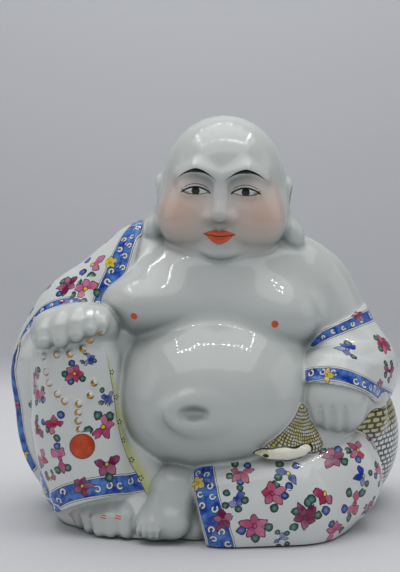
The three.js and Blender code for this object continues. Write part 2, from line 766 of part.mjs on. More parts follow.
// The table takes off what reaches below it, which leaves a flat underside.
function makeGeometry() {
  const surface = relax(surfaceOf(makeFigure(), gridStep / unit), 4);
  const coarse = simplify(surface, triangleTarget, detailWeight);
  const numbers = new Map();
  const used = [];
  for (const vertex of coarse.triangles.flat()) {
    if (numbers.has(vertex)) continue;
    numbers.set(vertex, used.length);
    used.push(vertex);
  }
  const points = used.flatMap((vertex) => coarse.positions[vertex].map((value) => value * unit));
  const faces = coarse.triangles.flat().map((vertex) => numbers.get(vertex));
  const below = height * 0.1;
  const table = new THREE.BoxGeometry(3 * height, 3 * height, below).translate(0, 0, -below / 2);
  const solid = solidFrom(new Float32Array(points), new Uint32Array(faces))
    .subtract(solidFromGeometry(table));
  const mesh = solid.getMesh();
  const geometry = new THREE.BufferGeometry();
  geometry.setAttribute("position", new THREE.BufferAttribute(mesh.vertProperties, 3));
  geometry.setIndex(new THREE.BufferAttribute(mesh.triVerts, 1));
  geometry.computeBoundingBox();
  const middle = geometry.boundingBox.getCenter(new THREE.Vector3());
  geometry.translate(-middle.x, -middle.y, 0);
  geometry.computeVertexNormals();
  return geometry;
}

const porcelain = new THREE.MeshStandardMaterial({
  color: 0xd9e0df,
  roughness: 0.12,
  metalness: 0,
});

const root = new THREE.Group();
const figure = new THREE.Mesh(makeGeometry(), porcelain);
figure.name = "figure";
root.add(figure);

export default root;
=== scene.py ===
# Seated laughing Budai: one porcelain casting with a clear glaze and painted enamels.
# The sculpt is worked out in hundredths of the figure's height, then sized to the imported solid.
import math
from functools import partialmethod, reduce

import bpy
import numpy as np
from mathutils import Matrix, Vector


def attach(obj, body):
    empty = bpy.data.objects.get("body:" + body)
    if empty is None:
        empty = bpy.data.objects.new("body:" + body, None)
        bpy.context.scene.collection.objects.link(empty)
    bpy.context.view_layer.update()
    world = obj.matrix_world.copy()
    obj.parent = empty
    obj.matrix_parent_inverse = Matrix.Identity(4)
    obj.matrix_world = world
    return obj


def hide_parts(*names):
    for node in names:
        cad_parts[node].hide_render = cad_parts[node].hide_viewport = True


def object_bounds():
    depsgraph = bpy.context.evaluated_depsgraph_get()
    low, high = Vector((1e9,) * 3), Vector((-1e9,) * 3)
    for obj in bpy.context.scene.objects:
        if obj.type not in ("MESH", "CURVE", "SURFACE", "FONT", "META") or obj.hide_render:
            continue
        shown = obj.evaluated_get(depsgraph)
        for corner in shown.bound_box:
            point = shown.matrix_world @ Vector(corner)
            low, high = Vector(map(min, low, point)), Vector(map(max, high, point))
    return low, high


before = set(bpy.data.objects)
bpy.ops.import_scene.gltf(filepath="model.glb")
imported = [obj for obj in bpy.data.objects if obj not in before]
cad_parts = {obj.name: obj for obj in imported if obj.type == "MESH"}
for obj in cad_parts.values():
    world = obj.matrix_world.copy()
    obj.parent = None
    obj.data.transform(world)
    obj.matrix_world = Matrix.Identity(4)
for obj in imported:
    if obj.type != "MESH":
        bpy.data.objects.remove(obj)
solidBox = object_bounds()

camera = {
    "place": (-0.0049, -0.8752, 0.250),
    "target": (-0.0049, 0.0048, 0.143),
    "lens": 88.4,
}


def addCamera():
    data = bpy.data.cameras.new("photoCamera")
    data.lens = camera["lens"]
    data.clip_start, data.clip_end = 0.05, 20
    seen = bpy.data.objects.new("photoCamera", data)
    seen.location = camera["place"]
    look = Vector(camera["target"]) - Vector(camera["place"])
    seen.rotation_euler = look.to_track_quat("-Z", "Y").to_euler()
    bpy.context.collection.objects.link(seen)
    bpy.context.scene.camera = seen


addCamera()
print("camera set")


# A form is a distance function, negative inside. It takes groups of points, and each group's
# middle and spread, so that parts of the figure too far off to matter are passed over.
slack = 1.5  # how fast a form's distance may change with place


def turnRows(turn):  # rows of a turn matrix, from degrees about X, then Y, then Z
    (cx, cy, cz), (sx, sy, sz) = np.cos(np.radians(turn)), np.sin(np.radians(turn))
    aboutX = np.array([[1, 0, 0], [0, cx, -sx], [0, sx, cx]])
    aboutY = np.array([[cy, 0, sy], [0, 1, 0], [-sy, 0, cy]])
    aboutZ = np.array([[cz, -sz, 0], [sz, cz, 0], [0, 0, 1]])
    return (aboutZ @ aboutY @ aboutX).T


def length(offset):
    return np.sqrt(np.einsum("...i,...i", offset, offset))


def egg(centre, radii, turn=(0, 0, 0)):
    rows, centre, radii = turnRows(turn), np.array(centre, float), np.array(radii, float)

    def form(p, middle, spread):
        along = (p - centre) @ rows.T / radii
        near, steep = length(along), length(along / radii)
        return np.where(steep < 1e-6, -radii.min(), near * (near - 1) / np.maximum(steep, 1e-6))

    return form


def limb(points, radii):  # a round limb through points, each with its own radius
    points, radii = np.array(points, float), np.array(radii, float)
    bones = list(zip(points[:-1], np.diff(points, axis=0), radii[:-1], np.diff(radii)))

    def boneDistance(p, start, along, radius, gain):
        offset = p - start
        t = np.clip(offset @ along / (along @ along), 0, 1)
        return length(offset - t[..., None] * along) - (radius + gain * t)

    def form(p, middle, spread):
        if p.shape[1] == 1:
            return np.min([boneDistance(p, *bone) for bone in bones], axis=0)
        guess = np.array([boneDistance(middle, *bone) for bone in bones])
        limit = guess.min(0) + slack * spread
        result = np.full(p.shape[:2], 1e3)
        for bone, value in zip(bones, guess):
            near = value - slack * spread <= limit
            if near.any():
                result[near] = np.minimum(result[near], boneDistance(p[near], *bone))
        return result

    return form


def halfSpace(point, normal):  # all that lies behind a plane
    out = np.array(normal, float) / np.linalg.norm(normal)
    return lambda p, middle, spread: (p - point) @ out


def softMin(a, b, soft):  # the two meet in a fillet about as wide as soft
    return np.minimum(a, b) - np.maximum(soft - np.abs(a - b), 0) ** 2 / (4 * soft)


def softMax(a, b, soft):
    return -softMin(-a, -b, soft)


def atMiddle(form, middle, spread):
    return form(middle[:, None], middle, spread)[:, 0]


def join(soft, *forms):
    def form(p, middle, spread):
        result = np.full(p.shape[:2], 1e3)
        if p.shape[1] == 1:
            for part in forms:
                result = softMin(result, part(p, middle, spread), soft)
            return result
        guess = np.array([atMiddle(part, middle, spread) for part in forms])
        limit = guess.min(0) + slack * spread + soft
        for part, value in zip(forms, guess):
            near = value - slack * spread <= limit
            if near.any():
                result[near] = softMin(result[near], part(p[near], middle[near], spread[near]), soft)
        return result

    return form


def carve(soft, body, *cutters):
    def form(p, middle, spread):
        result = body(p, middle, spread)
        for cutter in cutters:
            near = atMiddle(cutter, middle, spread) - slack * spread <= soft - result.min(1)
            if near.any():
                cut = cutter(p[near], middle[near], spread[near])
                result[near] = softMax(result[near], -cut, soft)
        return result

    return form


def keep(soft, body, other):  # the part of a form inside the other one
    return lambda *at: softMax(body(*at), other(*at), soft)


def grown(body, by):
    return lambda *at: body(*at) - by


def turned(body, pivot, turn):
    rows, pivot = turnRows(turn), np.array(pivot, float)

    def inside(p):
        return pivot + (p - pivot) @ rows.T

    return lambda p, middle, spread: body(inside(p), inside(middle), spread)


def inBatches(form, groups, batch=1200):  # groups of points in, their distances out
    values = np.empty(groups.shape[:2])
    for start in range(0, len(groups), batch):
        p = groups[start:start + batch]
        low, high = p.min(1), p.max(1)
        values[start:start + batch] = form(p, (low + high) / 2, length(high - low) / 2)
    return values


def sample(form, points, together=48):  # distances at points in any order
    cell = np.floor((points - points.min(0)) * 1.2).astype(np.int64)
    key = np.zeros(len(points), np.int64)
    for bit in range(8):
        for axis in range(3):
            key |= ((cell[:, axis] >> bit) & 1) << (3 * bit + axis)
    order = np.argsort(key, kind="stable")
    filled = np.resize(order, math.ceil(len(order) / together) * together)
    filled[len(order):] = order[-1]
    values = np.empty(len(points))
    values[filled] = inBatches(form, points[filled].reshape(-1, together, 3)).ravel()
    return values


def slopes(form, points, step=0.05):
    nudges = np.array([(1, -1, -1), (-1, 1, -1), (-1, -1, 1), (1, 1, 1)]) * step
    spread = (points[:, None] + nudges).reshape(-1, 3)
    slope = sample(form, spread).reshape(-1, 4) @ nudges / (4 * step * step)
    return slope / np.maximum(length(slope)[:, None], 1e-9)


def settle(form, points, lift=0, passes=6):  # moved on to the form's surface, then pushed out
    points = np.array(points, float)
    for _ in range(passes):
        points = points - slopes(form, points) * sample(form, points)[:, None]
    return points + slopes(form, points) * lift if lift else points


def smoothRun(points, count):  # a centripetal curve through a few chosen points
    points = np.array(points, float)
    points = np.vstack([2 * points[0] - points[1], points, 2 * points[-1] - points[-2]])
    gaps = np.maximum(np.linalg.norm(np.diff(points, axis=0), axis=1) ** 0.5, 1e-4)
    run = []
    for place in np.linspace(0, len(points) - 3, count + 1):
        i = min(int(place), len(points) - 4)
        t, (x0, x1, x2, x3), (d0, d1, d2) = place - i, points[i:i + 4], gaps[i:i + 3]
        a = ((x1 - x0) / d0 - (x2 - x0) / (d0 + d1) + (x2 - x1) / d1) * d1
        b = ((x2 - x1) / d1 - (x3 - x1) / (d1 + d2) + (x3 - x2) / d2) * d1
        run.append(x1 + a * t + (3 * (x2 - x1) - 2 * a - b) * t ** 2 + (2 * (x1 - x2) + a + b) * t ** 3)
    return np.array(run)


def welt(form, points, radius, lift, steps=14):  # a tapered fold on a form's surface
    run = settle(form, smoothRun(points, steps), lift)
    return limb(run, radius * (0.45 + 0.55 * np.sin(np.linspace(0, math.pi, steps + 1))))


def piping(form, points, radius, lift, steps=22):  # an even rib, as along a hem
    run = settle(form, smoothRun(points, steps), lift)
    return limb(run, np.full(len(run), radius))


def bothSides(make):
    return [make(-1), make(1)]


head = {
    "centre": (4.8, -1.5, 82),
    "turn": (0, 1.5, -4),
}


def makeHead():  # upright, before it is turned on the neck
    cx, cy, _ = head["centre"]

    def at(x, y, z):
        return (cx + x, cy + y, z)

    skull = join(
        6,
        egg(at(0, 0, 83.4), (15.3, 16, 16.6)),
        egg(at(0, -2.6, 73.6), (15, 12.4, 9.4)),
        *bothSides(lambda side: egg(at(side * 8.2, -7.6, 75.2), (5.8, 5.8, 5.4))),
    )
    brows = bothSides(lambda side: limb(
        [at(side * 2.2, -15, 85.4), at(side * 6, -14, 86.8), at(side * 9.8, -11.4, 85.4)],
        (1.1, 1.5, 0.9)))
    sockets = bothSides(lambda side: egg(at(side * 6, -16.8, 82.6), (4, 2.8, 2.3)))
    eyes = bothSides(lambda side: egg(at(side * 6, -12.2, 82.2), (3.6, 3, 2.3)))
    lidLines = bothSides(lambda side: limb(
        [at(side * 3.1, -14.9, 81.7), at(side * 6, -15.3, 81.1), at(side * 9, -13.6, 81.8)],
        (0.2, 0.36, 0.2)))
    nose = join(
        1.2,
        limb([at(0, -14.8, 84.6), at(0, -16.6, 79.6), at(0, -17.6, 76.7)], (1, 1.5, 2)),
        *bothSides(lambda side: egg(at(side * 2.2, -15.8, 76), (1.5, 1.8, 1.4))),
    )
    upperLip = limb(
        [at(-4, -13.9, 72.6), at(-1.3, -15.4, 72.4), at(0, -15.5, 72.1), at(1.3, -15.4, 72.4),
         at(4, -13.9, 72.6)],
        (0.35, 0.85, 0.7, 0.85, 0.35))
    lowerLip = limb([at(-3.3, -14, 71.7), at(0, -15.2, 70.4), at(3.3, -14, 71.7)], (0.4, 1.1, 0.4))
    chin = egg(at(0, -12.3, 67.6), (4.8, 3.6, 2.9))
    throat = egg(at(0, -3.4, 67.6), (13.6, 10.4, 6))
    mask = carve(3, join(3, skull, *brows), *sockets)
    features = join(2, mask, *eyes, nose, chin)
    mouth = join(0.5, carve(0.8, features, *lidLines), upperLip, lowerLip)
    return join(1.2, join(1.4, mouth, throat), *bothSides(lambda side: makeEar(side, at)))


def makeEar(side, at):
    shell = egg(at(side * 14.9, 0.2, 79.2), (2, 3.9, 6.2), (8, side * 6, side * 20))
    hollow = egg(at(side * 17, -1.6, 79), (1.4, 2.3, 4), (8, side * 6, side * 20))
    neckOfLobe = limb([at(side * 15.2, -1.2, 76), at(side * 17, -1.6, 71.4)], (2, 2.6))
    lobe = egg(at(side * 17.5, -1.8, 70.6), (2.9, 3.1, 3.9), (0, side * -14, 0))
    return join(1.6, carve(0.8, shell, hollow), neckOfLobe, lobe)


def makeTrunk():
    chest = join(
        5,
        egg((2.4, -2, 52), (25, 18, 17)),
        egg((3.5, -3, 62), (20, 12.5, 8.5)),
        egg((-13.5, -10.4, 54.4), (12, 11.6, 7.6)),
        egg((16.4, -9.6, 51), (12.2, 11.4, 9.2)),
    )
    flanks = egg((2.6, -7.6, 35), (24.6, 20, 20))
    belly = join(6, egg((2.2, -12, 31), (24, 22.4, 18.6)), flanks)
    navel = egg((-2.8, -35, 31.4), (3.4, 2.6, 1.7))
    navelRim = egg((-2.8, -32.4, 31.4), (6.4, 1.7, 4))
    return join(2, chest, carve(1.8, join(3, belly, navelRim), navel))


leftShoulder = egg((13.5, 0.5, 46.5), (26.4, 12.5, 26.2))
leftArm = limb([(16, 2, 58), (25, 1.6, 54.4), (36.6, -1.5, 36)], (10.4, 11.8, 10.4))
leftForearm = limb([(36.6, -1.5, 36), (31, -14.6, 34)], (10.4, 9.2))
rightArm = limb([(-14, 3, 61.2), (-25.2, 2.2, 51.4), (-35.2, -1, 38)], (11.4, 11.6, 11.6))
rightForearm = limb([(-35.2, -1, 38), (-31.5, -14, 46)], (10.8, 8))
back = egg((0, 7, 28), (40, 24, 38))

robe = {
    "thickness": 0.7,
    "neckline": ((-18.6, 0, 61), (1, 0, -0.21)),
    "backEdge": ((0, 10, 60), (0, -1, 0.35)),
    "sleeveTop": ((27.3, -11, 46.6), (-0.44, 0, 1)),
    "cuffFace": ((30, -20, 35.4), (-0.187, -0.453, -1)),
}


def makeRobe():
    thick = robe["thickness"]
    neckline, backEdge, sleeveTop, cuffFace = (
        halfSpace(*robe[name]) for name in ("neckline", "backEdge", "sleeveTop", "cuffFace"))
    shoulders = join(5, back, rightArm, leftArm, leftShoulder, egg((3, 2, 62), (20, 13, 8.6)))
    covered = lambda *at: np.minimum(neckline(*at), backEdge(*at))
    mantle = keep(0.6, grown(shoulders, thick), covered)
    sleeveFall = egg((-33.6, 2.5, 29.6), (14.6, 14.5, 29.8))
    rightSleeve = join(5, rightArm, rightForearm, sleeveFall)
    sleeve = join(4, leftArm, leftForearm)
    leftSleeve = keep(0.6, keep(0.6, grown(sleeve, thick + 0.3), sleeveTop), cuffFace)
    return mantle, rightSleeve, leftSleeve, sleeve


def makeLegs():
    shin = limb([(-30.8, -15.6, 41.2), (-30.6, -15.6, 26), (-27.2, -14.6, 13)], (10.8, 11.8, 13.4))
    rightThigh = limb([(-29, -12, 34), (-12, 6, 16)], (10, 12))
    hem = halfSpace((-26, -28, 9.96), (0.15, -0.5, -1))
    lining = limb([(-22.6, -10.6, 48), (-17.6, -13, 28), (-13, -17.6, 13)], (6, 5.6, 7))
    drape = join(5, shin, rightThigh)
    rightLeg = keep(1, join(1.6, drape, lining), hem)
    lowerLeg = limb([(6, -21, 5.4), (20, -20, 7), (30.6, -14.8, 12.2)], (15.2, 15.2, 13))
    leftThigh = limb([(10, 0, 14), (30, -8, 12.6)], (13, 11.6))
    ankleEnd = halfSpace((-2.6, -28, 12), (-1, 0, -0.24))
    leftLeg = keep(1.2, join(5, lowerLeg, leftThigh), ankleEnd)
    return rightLeg, leftLeg


def digits(rows):  # fingers or toes, from knuckle to tip
    return [limb([knuckle, joint, tip], (r, r * 1.02, r * 0.86)) for knuckle, joint, tip, r in rows]


def makeFeet():
    rightToes = digits([
        ((-29.8, -16.5, 5.4), (-30.4, -18.8, 3.8), (-30.1, -19.4, 1.8), 1.8),
        ((-27.4, -19.6, 5.8), (-27.9, -22.6, 4), (-27.6, -23.2, 1.8), 1.9),
        ((-25, -22, 6.2), (-25.4, -25.4, 4.2), (-25.1, -26, 1.8), 1.9),
        ((-22.3, -22.8, 6.6), (-22.7, -26.4, 4.6), (-22.4, -27, 1.9), 2),
        ((-18.4, -22.6, 7), (-18.8, -26.8, 5), (-18.6, -27.6, 2.3), 2.5),
    ])
    heel = join(4, egg((-23, -15, 5), (10.4, 9.6, 6.4)), egg((-20.8, -18.4, 6), (7, 6.6, 5)))
    leftToes = digits([
        ((-15, -30.8, 4.8), (-15.6, -31.7, 3.4), (-15.7, -31.3, 2.2), 0.65),
        ((-13.7, -31.8, 5), (-14.2, -32.8, 3.5), (-14.3, -32.4, 2.2), 0.65),
        ((-12.3, -32.4, 5.1), (-12.7, -33.3, 3.6), (-12.8, -32.9, 2.2), 0.65),
        ((-10.9, -32.6, 5.2), (-11.2, -33.5, 3.6), (-11.3, -33.1, 2.2), 0.65),
    ])
    forefoot = egg((-12, -28.4, 3.8), (4.7, 4.9, 3.7))
    ball = limb([(-6.4, -26.2, 9.8), (-7.6, -29.8, 4.9)], (3.4, 4.3))
    ankle = join(
        3,
        limb([(-4, -21, 13), (-6.6, -24.6, 10.8), (-8.6, -26, 6.4)], (6.8, 6.6, 5.6)),
        egg((-2.4, -24.8, 2.6), (5, 5.2, 5)),
        forefoot,
    )
    return join(1, join(1.4, heel, *rightToes), join(0.5, join(1.2, ankle, ball), *leftToes))


def makeHands():
    rightFingers = digits([
        ((-37, -20, 50.4), (-38, -23, 48.8), (-37.8, -24.6, 47), 2.1),
        ((-33.8, -20.6, 51.8), (-34.3, -24, 50), (-34, -25.7, 47.5), 2.2),
        ((-30.4, -20.8, 52.6), (-30.7, -24.2, 51), (-30.4, -25.7, 48.7), 2.1),
        ((-27.2, -20.4, 52.9), (-27.4, -23.6, 51.6), (-27.1, -25, 49.9), 1.95),
        ((-24.4, -19.6, 52.6), (-24.5, -22.4, 51.6), (-24.3, -23.4, 50.8), 1.8),
    ])
    rightPalm = join(
        3,
        egg((-31.6, -17.4, 49.6), (9.4, 8.2, 5.6), (0, -10, 0)),
        egg((-37.8, -18, 48), (3.8, 5.6, 4.6)),
        egg((-25.6, -17, 50), (5, 6.4, 4)),
    )
    underPalm = egg((-30.6, -14.6, 46.6), (9.6, 9.4, 6))
    leftPalm = join(3, egg((30.6, -18, 31.4), (8.4, 8, 6.8)), egg((30.4, -18.4, 27.6), (7.2, 7, 4)))
    leftWrist = join(
        3,
        limb([(31, -14.6, 35), (31, -16, 31)], (9.3, 8.4)),
        limb([(33, -13, 33), (39, -8, 31)], (7.4, 6.4)),
    )
    underFist = egg((27, -17, 22.8), (9, 8, 6.4))
    fist = join(1.6, leftPalm, leftWrist)
    grooves = [
        welt(fist, [(x, -26, 31.2), (x + 0.1, -26, 28), (x - 0.1, -24, 24.6)], 0.6, 0.25)
        for x in (27.1, 30.1, 33.3)
    ]
    return [
        join(1.1, join(2, rightPalm, underPalm), *rightFingers),
        join(0.7, carve(1.2, fist, *grooves), underFist),
    ]


def makeSack():  # the body lies behind the left knee, and the mouth sticks out under the fist
    bag = egg((37.4, 6, 17.6), (13, 19, 17.5), (0, 0, -8))
    pleat = limb([(38, -8, 26), (32, -17, 29)], (7.5, 4))
    knot = (22.8, -23.8, 30.4)
    cone = join(
        2,
        limb([knot, (15.6, -27.8, 22)], (0.6, 2.1)),
        limb([knot, (20.2, -26.6, 22.2)], (0.6, 3)),
        limb([knot, (25.2, -24.8, 22.6)], (0.6, 2.7)),
    )
    lip = limb(
        [(12, -29.2, 21.4), (15, -29.6, 21.1), (19, -29.4, 21.1), (22.8, -28.2, 21.5), (25.8, -25.8, 22.6)],
        (0.4, 1.2, 1.5, 1.3, 0.7))
    return join(3, bag, pleat), cone, lip


edges = {
    "neckEdge": [(-16.5, 0, 73), (-17.5, -9, 67), (-19.4, -14, 61), (-21.4, -17, 55), (-22.4, -18.4, 50.6)],
    "collar": [(-16, 1, 73), (-13, 9, 71.4), (-4, 15, 69.4), (8, 16, 68), (19, 13.6, 65), (28, 11.4, 58.6),
               (36, 9.4, 50.6), (41, 7.6, 43)],
    "rightCuff": [(-21.5, -19, 53.6), (-28, -18.4, 56), (-36, -14.8, 54.4), (-43, -9.4, 48.4),
                  (-47, -6, 38), (-48.4, -5, 27), (-48, -4.6, 16), (-45.4, -7.6, 7)],
    "leftCuff": [(22.4, -18, 36), (26, -22, 37.2), (31, -24, 37), (36.4, -22.6, 35.4), (41, -17.6, 32.4),
                 (44.6, -9.6, 28)],
    "robeHem": [(-38.6, -15, 2.2), (-36.4, -20, 4.4), (-32.6, -25, 7.6), (-27, -28, 9.8), (-20, -28, 10.8),
                (-14, -24, 9.8)],
}


def dressCloth(mantle, rightSleeve, leftSleeve, sleeve, rightLeg, body):
    thick = robe["thickness"]
    return [
        piping(mantle, edges["neckEdge"], 0.8, 0),
        piping(mantle, edges["collar"], 0.8, 0, 30),
        piping(rightSleeve, edges["rightCuff"], 1.1, 0),
        piping(sleeve, edges["leftCuff"], 0.5, thick),
        piping(rightLeg, edges["robeHem"], 0.7, 0),
        welt(leftSleeve, [(27, -16, 41.6), (36, -14.6, 43), (45, -6, 44.4)], 2.2, -1.6),
        welt(leftSleeve, [(27, -18, 39.6), (37, -17, 39.4), (46, -8, 38.6)], 2.2, -1.6),
        welt(leftSleeve, [(40, 8, 45), (45, 4, 38), (46, 2, 30)], 2, -1.4),
        welt(body, [(-30, 20, 50), (-34, 24, 34), (-30, 28, 12)], 1.5, -0.4),
        welt(body, [(-12, 24, 52), (-16, 30, 32), (-12, 31, 8)], 1.6, -0.5),
        welt(body, [(8, 24, 50), (8, 31, 30), (14, 31, 8)], 1.6, -0.5),
        welt(body, [(26, 20, 44), (27, 27, 28), (30, 28, 10)], 1.4, -0.4),
    ]


beadSpots = [
    (-24.3, -24.1, 49.2), (-27.2, -24.2, 47.3), (-28.8, -25.4, 45.3), (-31.8, -26, 44.2),
    (-34.9, -25.2, 43.9), (-38.2, -23.2, 43.1), (-37.6, -24.2, 39.6), (-36.8, -24.9, 37.1),
    (-34.8, -26.1, 34.7), (-33.1, -26.7, 33.1), (-29.8, -27, 32.5), (-27.1, -26.3, 34.4),
    (-26.2, -25.7, 37.3), (-29.9, -27.6, 30.5), (-29.9, -27.7, 28.5), (-29.5, -27.8, 26.4),
]


def makeFigure():
    mantle, rightSleeve, leftSleeve, sleeve = makeRobe()
    rightLeg, leftLeg = makeLegs()
    bag, cone, lip = makeSack()
    neck = limb([(4, 0, 70), (3, 1, 60)], (11.5, 14))
    skin = join(2, join(3.5, join(4, makeTrunk(), leftArm, leftShoulder), neck), back)
    seat = join(
        3,
        egg((-1, 4, 6), (36, 26, 12)),
        egg((-13, -15, 3), (17, 14, 9)),
        egg((-26, -8, 2.6), (11.5, 12.6, 6.5)),
    )
    cloth = join(2, join(2.5, mantle, rightSleeve, seat), rightLeg, leftLeg, leftSleeve)
    body = join(1.5, skin, cloth)
    headAndNeck = join(0.8, turned(makeHead(), head["centre"], head["turn"]), neck)
    bareParts = [headAndNeck, makeFeet(), *makeHands()]
    unsacked = join(0.8, body, *bareParts)
    beads = [egg(spot, (0.75, 0.75, 0.75)) for spot in settle(unsacked, beadSpots)]
    sack = join(0.8, bag, join(0.8, cone, lip))
    dressing = dressCloth(mantle, rightSleeve, leftSleeve, sleeve, rightLeg, body)
    whole = join(0.8, body, *bareParts, sack, *dressing, *beads)
    return dict(
        whole=keep(0.3, whole, halfSpace((0, 0, 0), (0, 0, -1))),
        bare=join(1, makeTrunk(), leftArm, leftShoulder, *bareParts),
        unsacked=unsacked, cloth=cloth, rightLeg=rightLeg, leftLeg=leftLeg, bag=bag, cone=cone, lip=lip,
        mantle=mantle, rightSleeve=rightSleeve, leftSleeve=leftSleeve,
    )


mesher = {
    "low": (-56, -42, -2),
    "high": (58, 40, 104),
    "step": 0.52,  # hundredths of the height
    "triangles": 190000,
}


def counted(*numbers):  # every index of a grid of that many places
    return np.stack(np.meshgrid(*(np.arange(n) for n in numbers), indexing="ij"), -1).reshape(-1, 3)


# The form's distance on a grid, worked out only near its surface: in blocks of 16 steps, then of 4, then of 1
def latticeOf(form):
    step, low = mesher["step"], np.array(mesher["low"], float)
    size = np.ceil((np.array(mesher["high"]) - low) / (16 * step)).astype(int)
    four, corner = counted(4, 4, 4), counted(*size)
    rough = inBatches(form, (low + (corner * 16 + 8) * step)[:, None])[:, 0]
    signs = np.sign(rough).reshape(size).repeat(4, 0).repeat(4, 1).repeat(4, 2)
    blocks = corner[np.abs(rough) < slack * 8 * step * math.sqrt(3)][:, None] * 4 + four
    middle = inBatches(form, low + (blocks * 4 + 1.5) * step)
    signs[tuple(blocks.reshape(-1, 3).T)] = np.sign(middle).ravel()
    values = signs.repeat(4, 0).repeat(4, 1).repeat(4, 2)
    spots = blocks[np.abs(middle) < slack * 2 * step * math.sqrt(3)][:, None] * 4 + four
    values[tuple(spots.reshape(-1, 3).T)] = inBatches(form, low + spots * step).ravel()
    return values, low


def surfaceNet(form):  # a point in each cell that the surface crosses, and a quad over each crossed edge
    values, low = latticeOf(form)
    inside = values < 0
    cells = np.zeros(np.array(values.shape) - 1, np.int8)
    nx, ny, nz = cells.shape
    for i, j, k in counted(2, 2, 2):
        cells += inside[i:nx + i, j:ny + j, k:nz + k]
    active = np.argwhere((cells > 0) & (cells < 8))
    number = np.full(cells.shape, -1)
    number[tuple(active.T)] = np.arange(len(active))
    unit = np.eye(3, dtype=int)
    total, count = np.zeros((len(active), 3)), np.zeros(len(active))
    for corner in counted(2, 2, 2):
        for axis in np.flatnonzero(corner == 0):
            one = active + corner
            v0, v1 = values[tuple(one.T)], values[tuple((one + unit[axis]).T)]
            crossed = (v0 < 0) != (v1 < 0)
            t = v0[crossed] / (v0[crossed] - v1[crossed])
            total[crossed] += one[crossed] + unit[axis] * t[:, None]
            count[crossed] += 1
    quads = []
    for axis in range(3):
        u, v = unit[(axis + 1) % 3], unit[(axis + 2) % 3]
        here, ahead = [slice(1, -1)] * 3, [slice(1, -1)] * 3
        here[axis], ahead[axis] = slice(None, -1), slice(1, None)
        starts = np.argwhere(inside[tuple(here)] != inside[tuple(ahead)]) + 1 - unit[axis]
        leaving = inside[tuple(starts.T)]
        quad = np.stack([number[tuple((starts - back).T)] for back in (u + v, v, 0 * u, u)], 1)
        quad[~leaving] = quad[~leaving][:, ::-1]
        quads.append(quad)
    return low + total / count[:, None] * mesher["step"], np.concatenate(quads)


def newMesh(name, points, faces):
    mesh = bpy.data.meshes.new(name)
    mesh.vertices.add(len(points))
    mesh.vertices.foreach_set("co", np.ascontiguousarray(points, np.float32).ravel())
    width = faces.shape[1]
    mesh.loops.add(len(faces) * width)
    mesh.loops.foreach_set("vertex_index", faces.astype(np.int32).ravel())
    mesh.polygons.add(len(faces))
    mesh.polygons.foreach_set("loop_start", np.arange(0, len(faces) * width, width, dtype=np.int32))
    mesh.update()
    mesh.validate()
    return mesh


def thinned(mesh, target):  # fewer triangles, with the small ones kept where the shape is fine
    rough = bpy.data.objects.new("rough", mesh)
    bpy.context.collection.objects.link(rough)
    thin = rough.modifiers.new("thin", "DECIMATE")
    thin.ratio = min(1, target / sum(len(face.vertices) - 2 for face in mesh.polygons))
    seen = rough.evaluated_get(bpy.context.evaluated_depsgraph_get())
    result = bpy.data.meshes.new_from_object(seen)
    bpy.data.objects.remove(rough)
    bpy.data.meshes.remove(mesh)
    return result


def readAll(rows, key, width=1, kind=np.int32):
    values = np.empty(len(rows) * width, kind)
    rows.foreach_get(key, values)
    return values


def toSolid(points):  # hundredths of the height to metres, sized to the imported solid's box
    low, high = (np.array(corner) for corner in solidBox)
    return low + (points - sculptLow) / (sculptHigh - sculptLow) * (high - low)


parts = makeFigure()
points, quads = surfaceNet(parts["whole"])
print("surface:", len(quads), "cells")
mesh = newMesh("porcelainFigure", settle(parts["whole"], points, passes=1), quads)
mesh = thinned(mesh, mesher["triangles"])
thinnedPoints = readAll(mesh.vertices, "co", 3, np.float32).reshape(-1, 3)
points = settle(parts["whole"], thinnedPoints, passes=2)
points[:, 2] = np.maximum(points[:, 2], 0)
normals = slopes(parts["whole"], points)
sculptLow, sculptHigh = points.min(0), points.max(0)
mesh.vertices.foreach_set("co", toSolid(points).astype(np.float32).ravel())
mesh.polygons.foreach_set("use_smooth", np.ones(len(mesh.polygons), bool))
mesh.normals_split_custom_set_from_vertices(normals.astype(np.float32))
mesh.update()
figure = bpy.data.objects.new("porcelain_figure", mesh)
bpy.context.collection.objects.link(figure)
print("figure:", len(mesh.polygons), "faces")

inks = {  # enamel colours as painted, 0 to 255
    # paintedShade is not an enamel: it is the colour of the painted shade in crevices and on undersides that
    # face down
    "porcelain": (200, 205, 203), "slip": (226, 230, 229), "paintedShade": (120, 130, 125),
    "outline": (54, 40, 34), "black": (22, 20, 20), "white": (228, 232, 232),
    "cobalt": (24, 58, 158), "sky": (84, 138, 214), "blue": (16, 62, 170), "blossom": (236, 176, 206),
    "pink": (192, 66, 120), "rose": (176, 42, 88), "magenta": (126, 16, 76), "purple": (122, 28, 92),
    "leaf": (30, 96, 84), "yellow": (222, 206, 50), "gold": (214, 150, 52),
    "ironRed": (220, 84, 38), "rust": (176, 54, 24), "blush": (222, 168, 140),
    "wash": (206, 210, 128), "straw": (190, 182, 96), "strawLine": (74, 62, 34),
}


def linear(name, light=0):  # an ink as Blender's linear colour, mixed with white by light
    values = np.array(inks[name]) / 255
    values = values + (1 - values) * light
    values = np.where(values < 0.04045, values / 12.92, ((values + 0.055) / 1.055) ** 2.4)
    return (*(float(value) for value in values), 1.0)


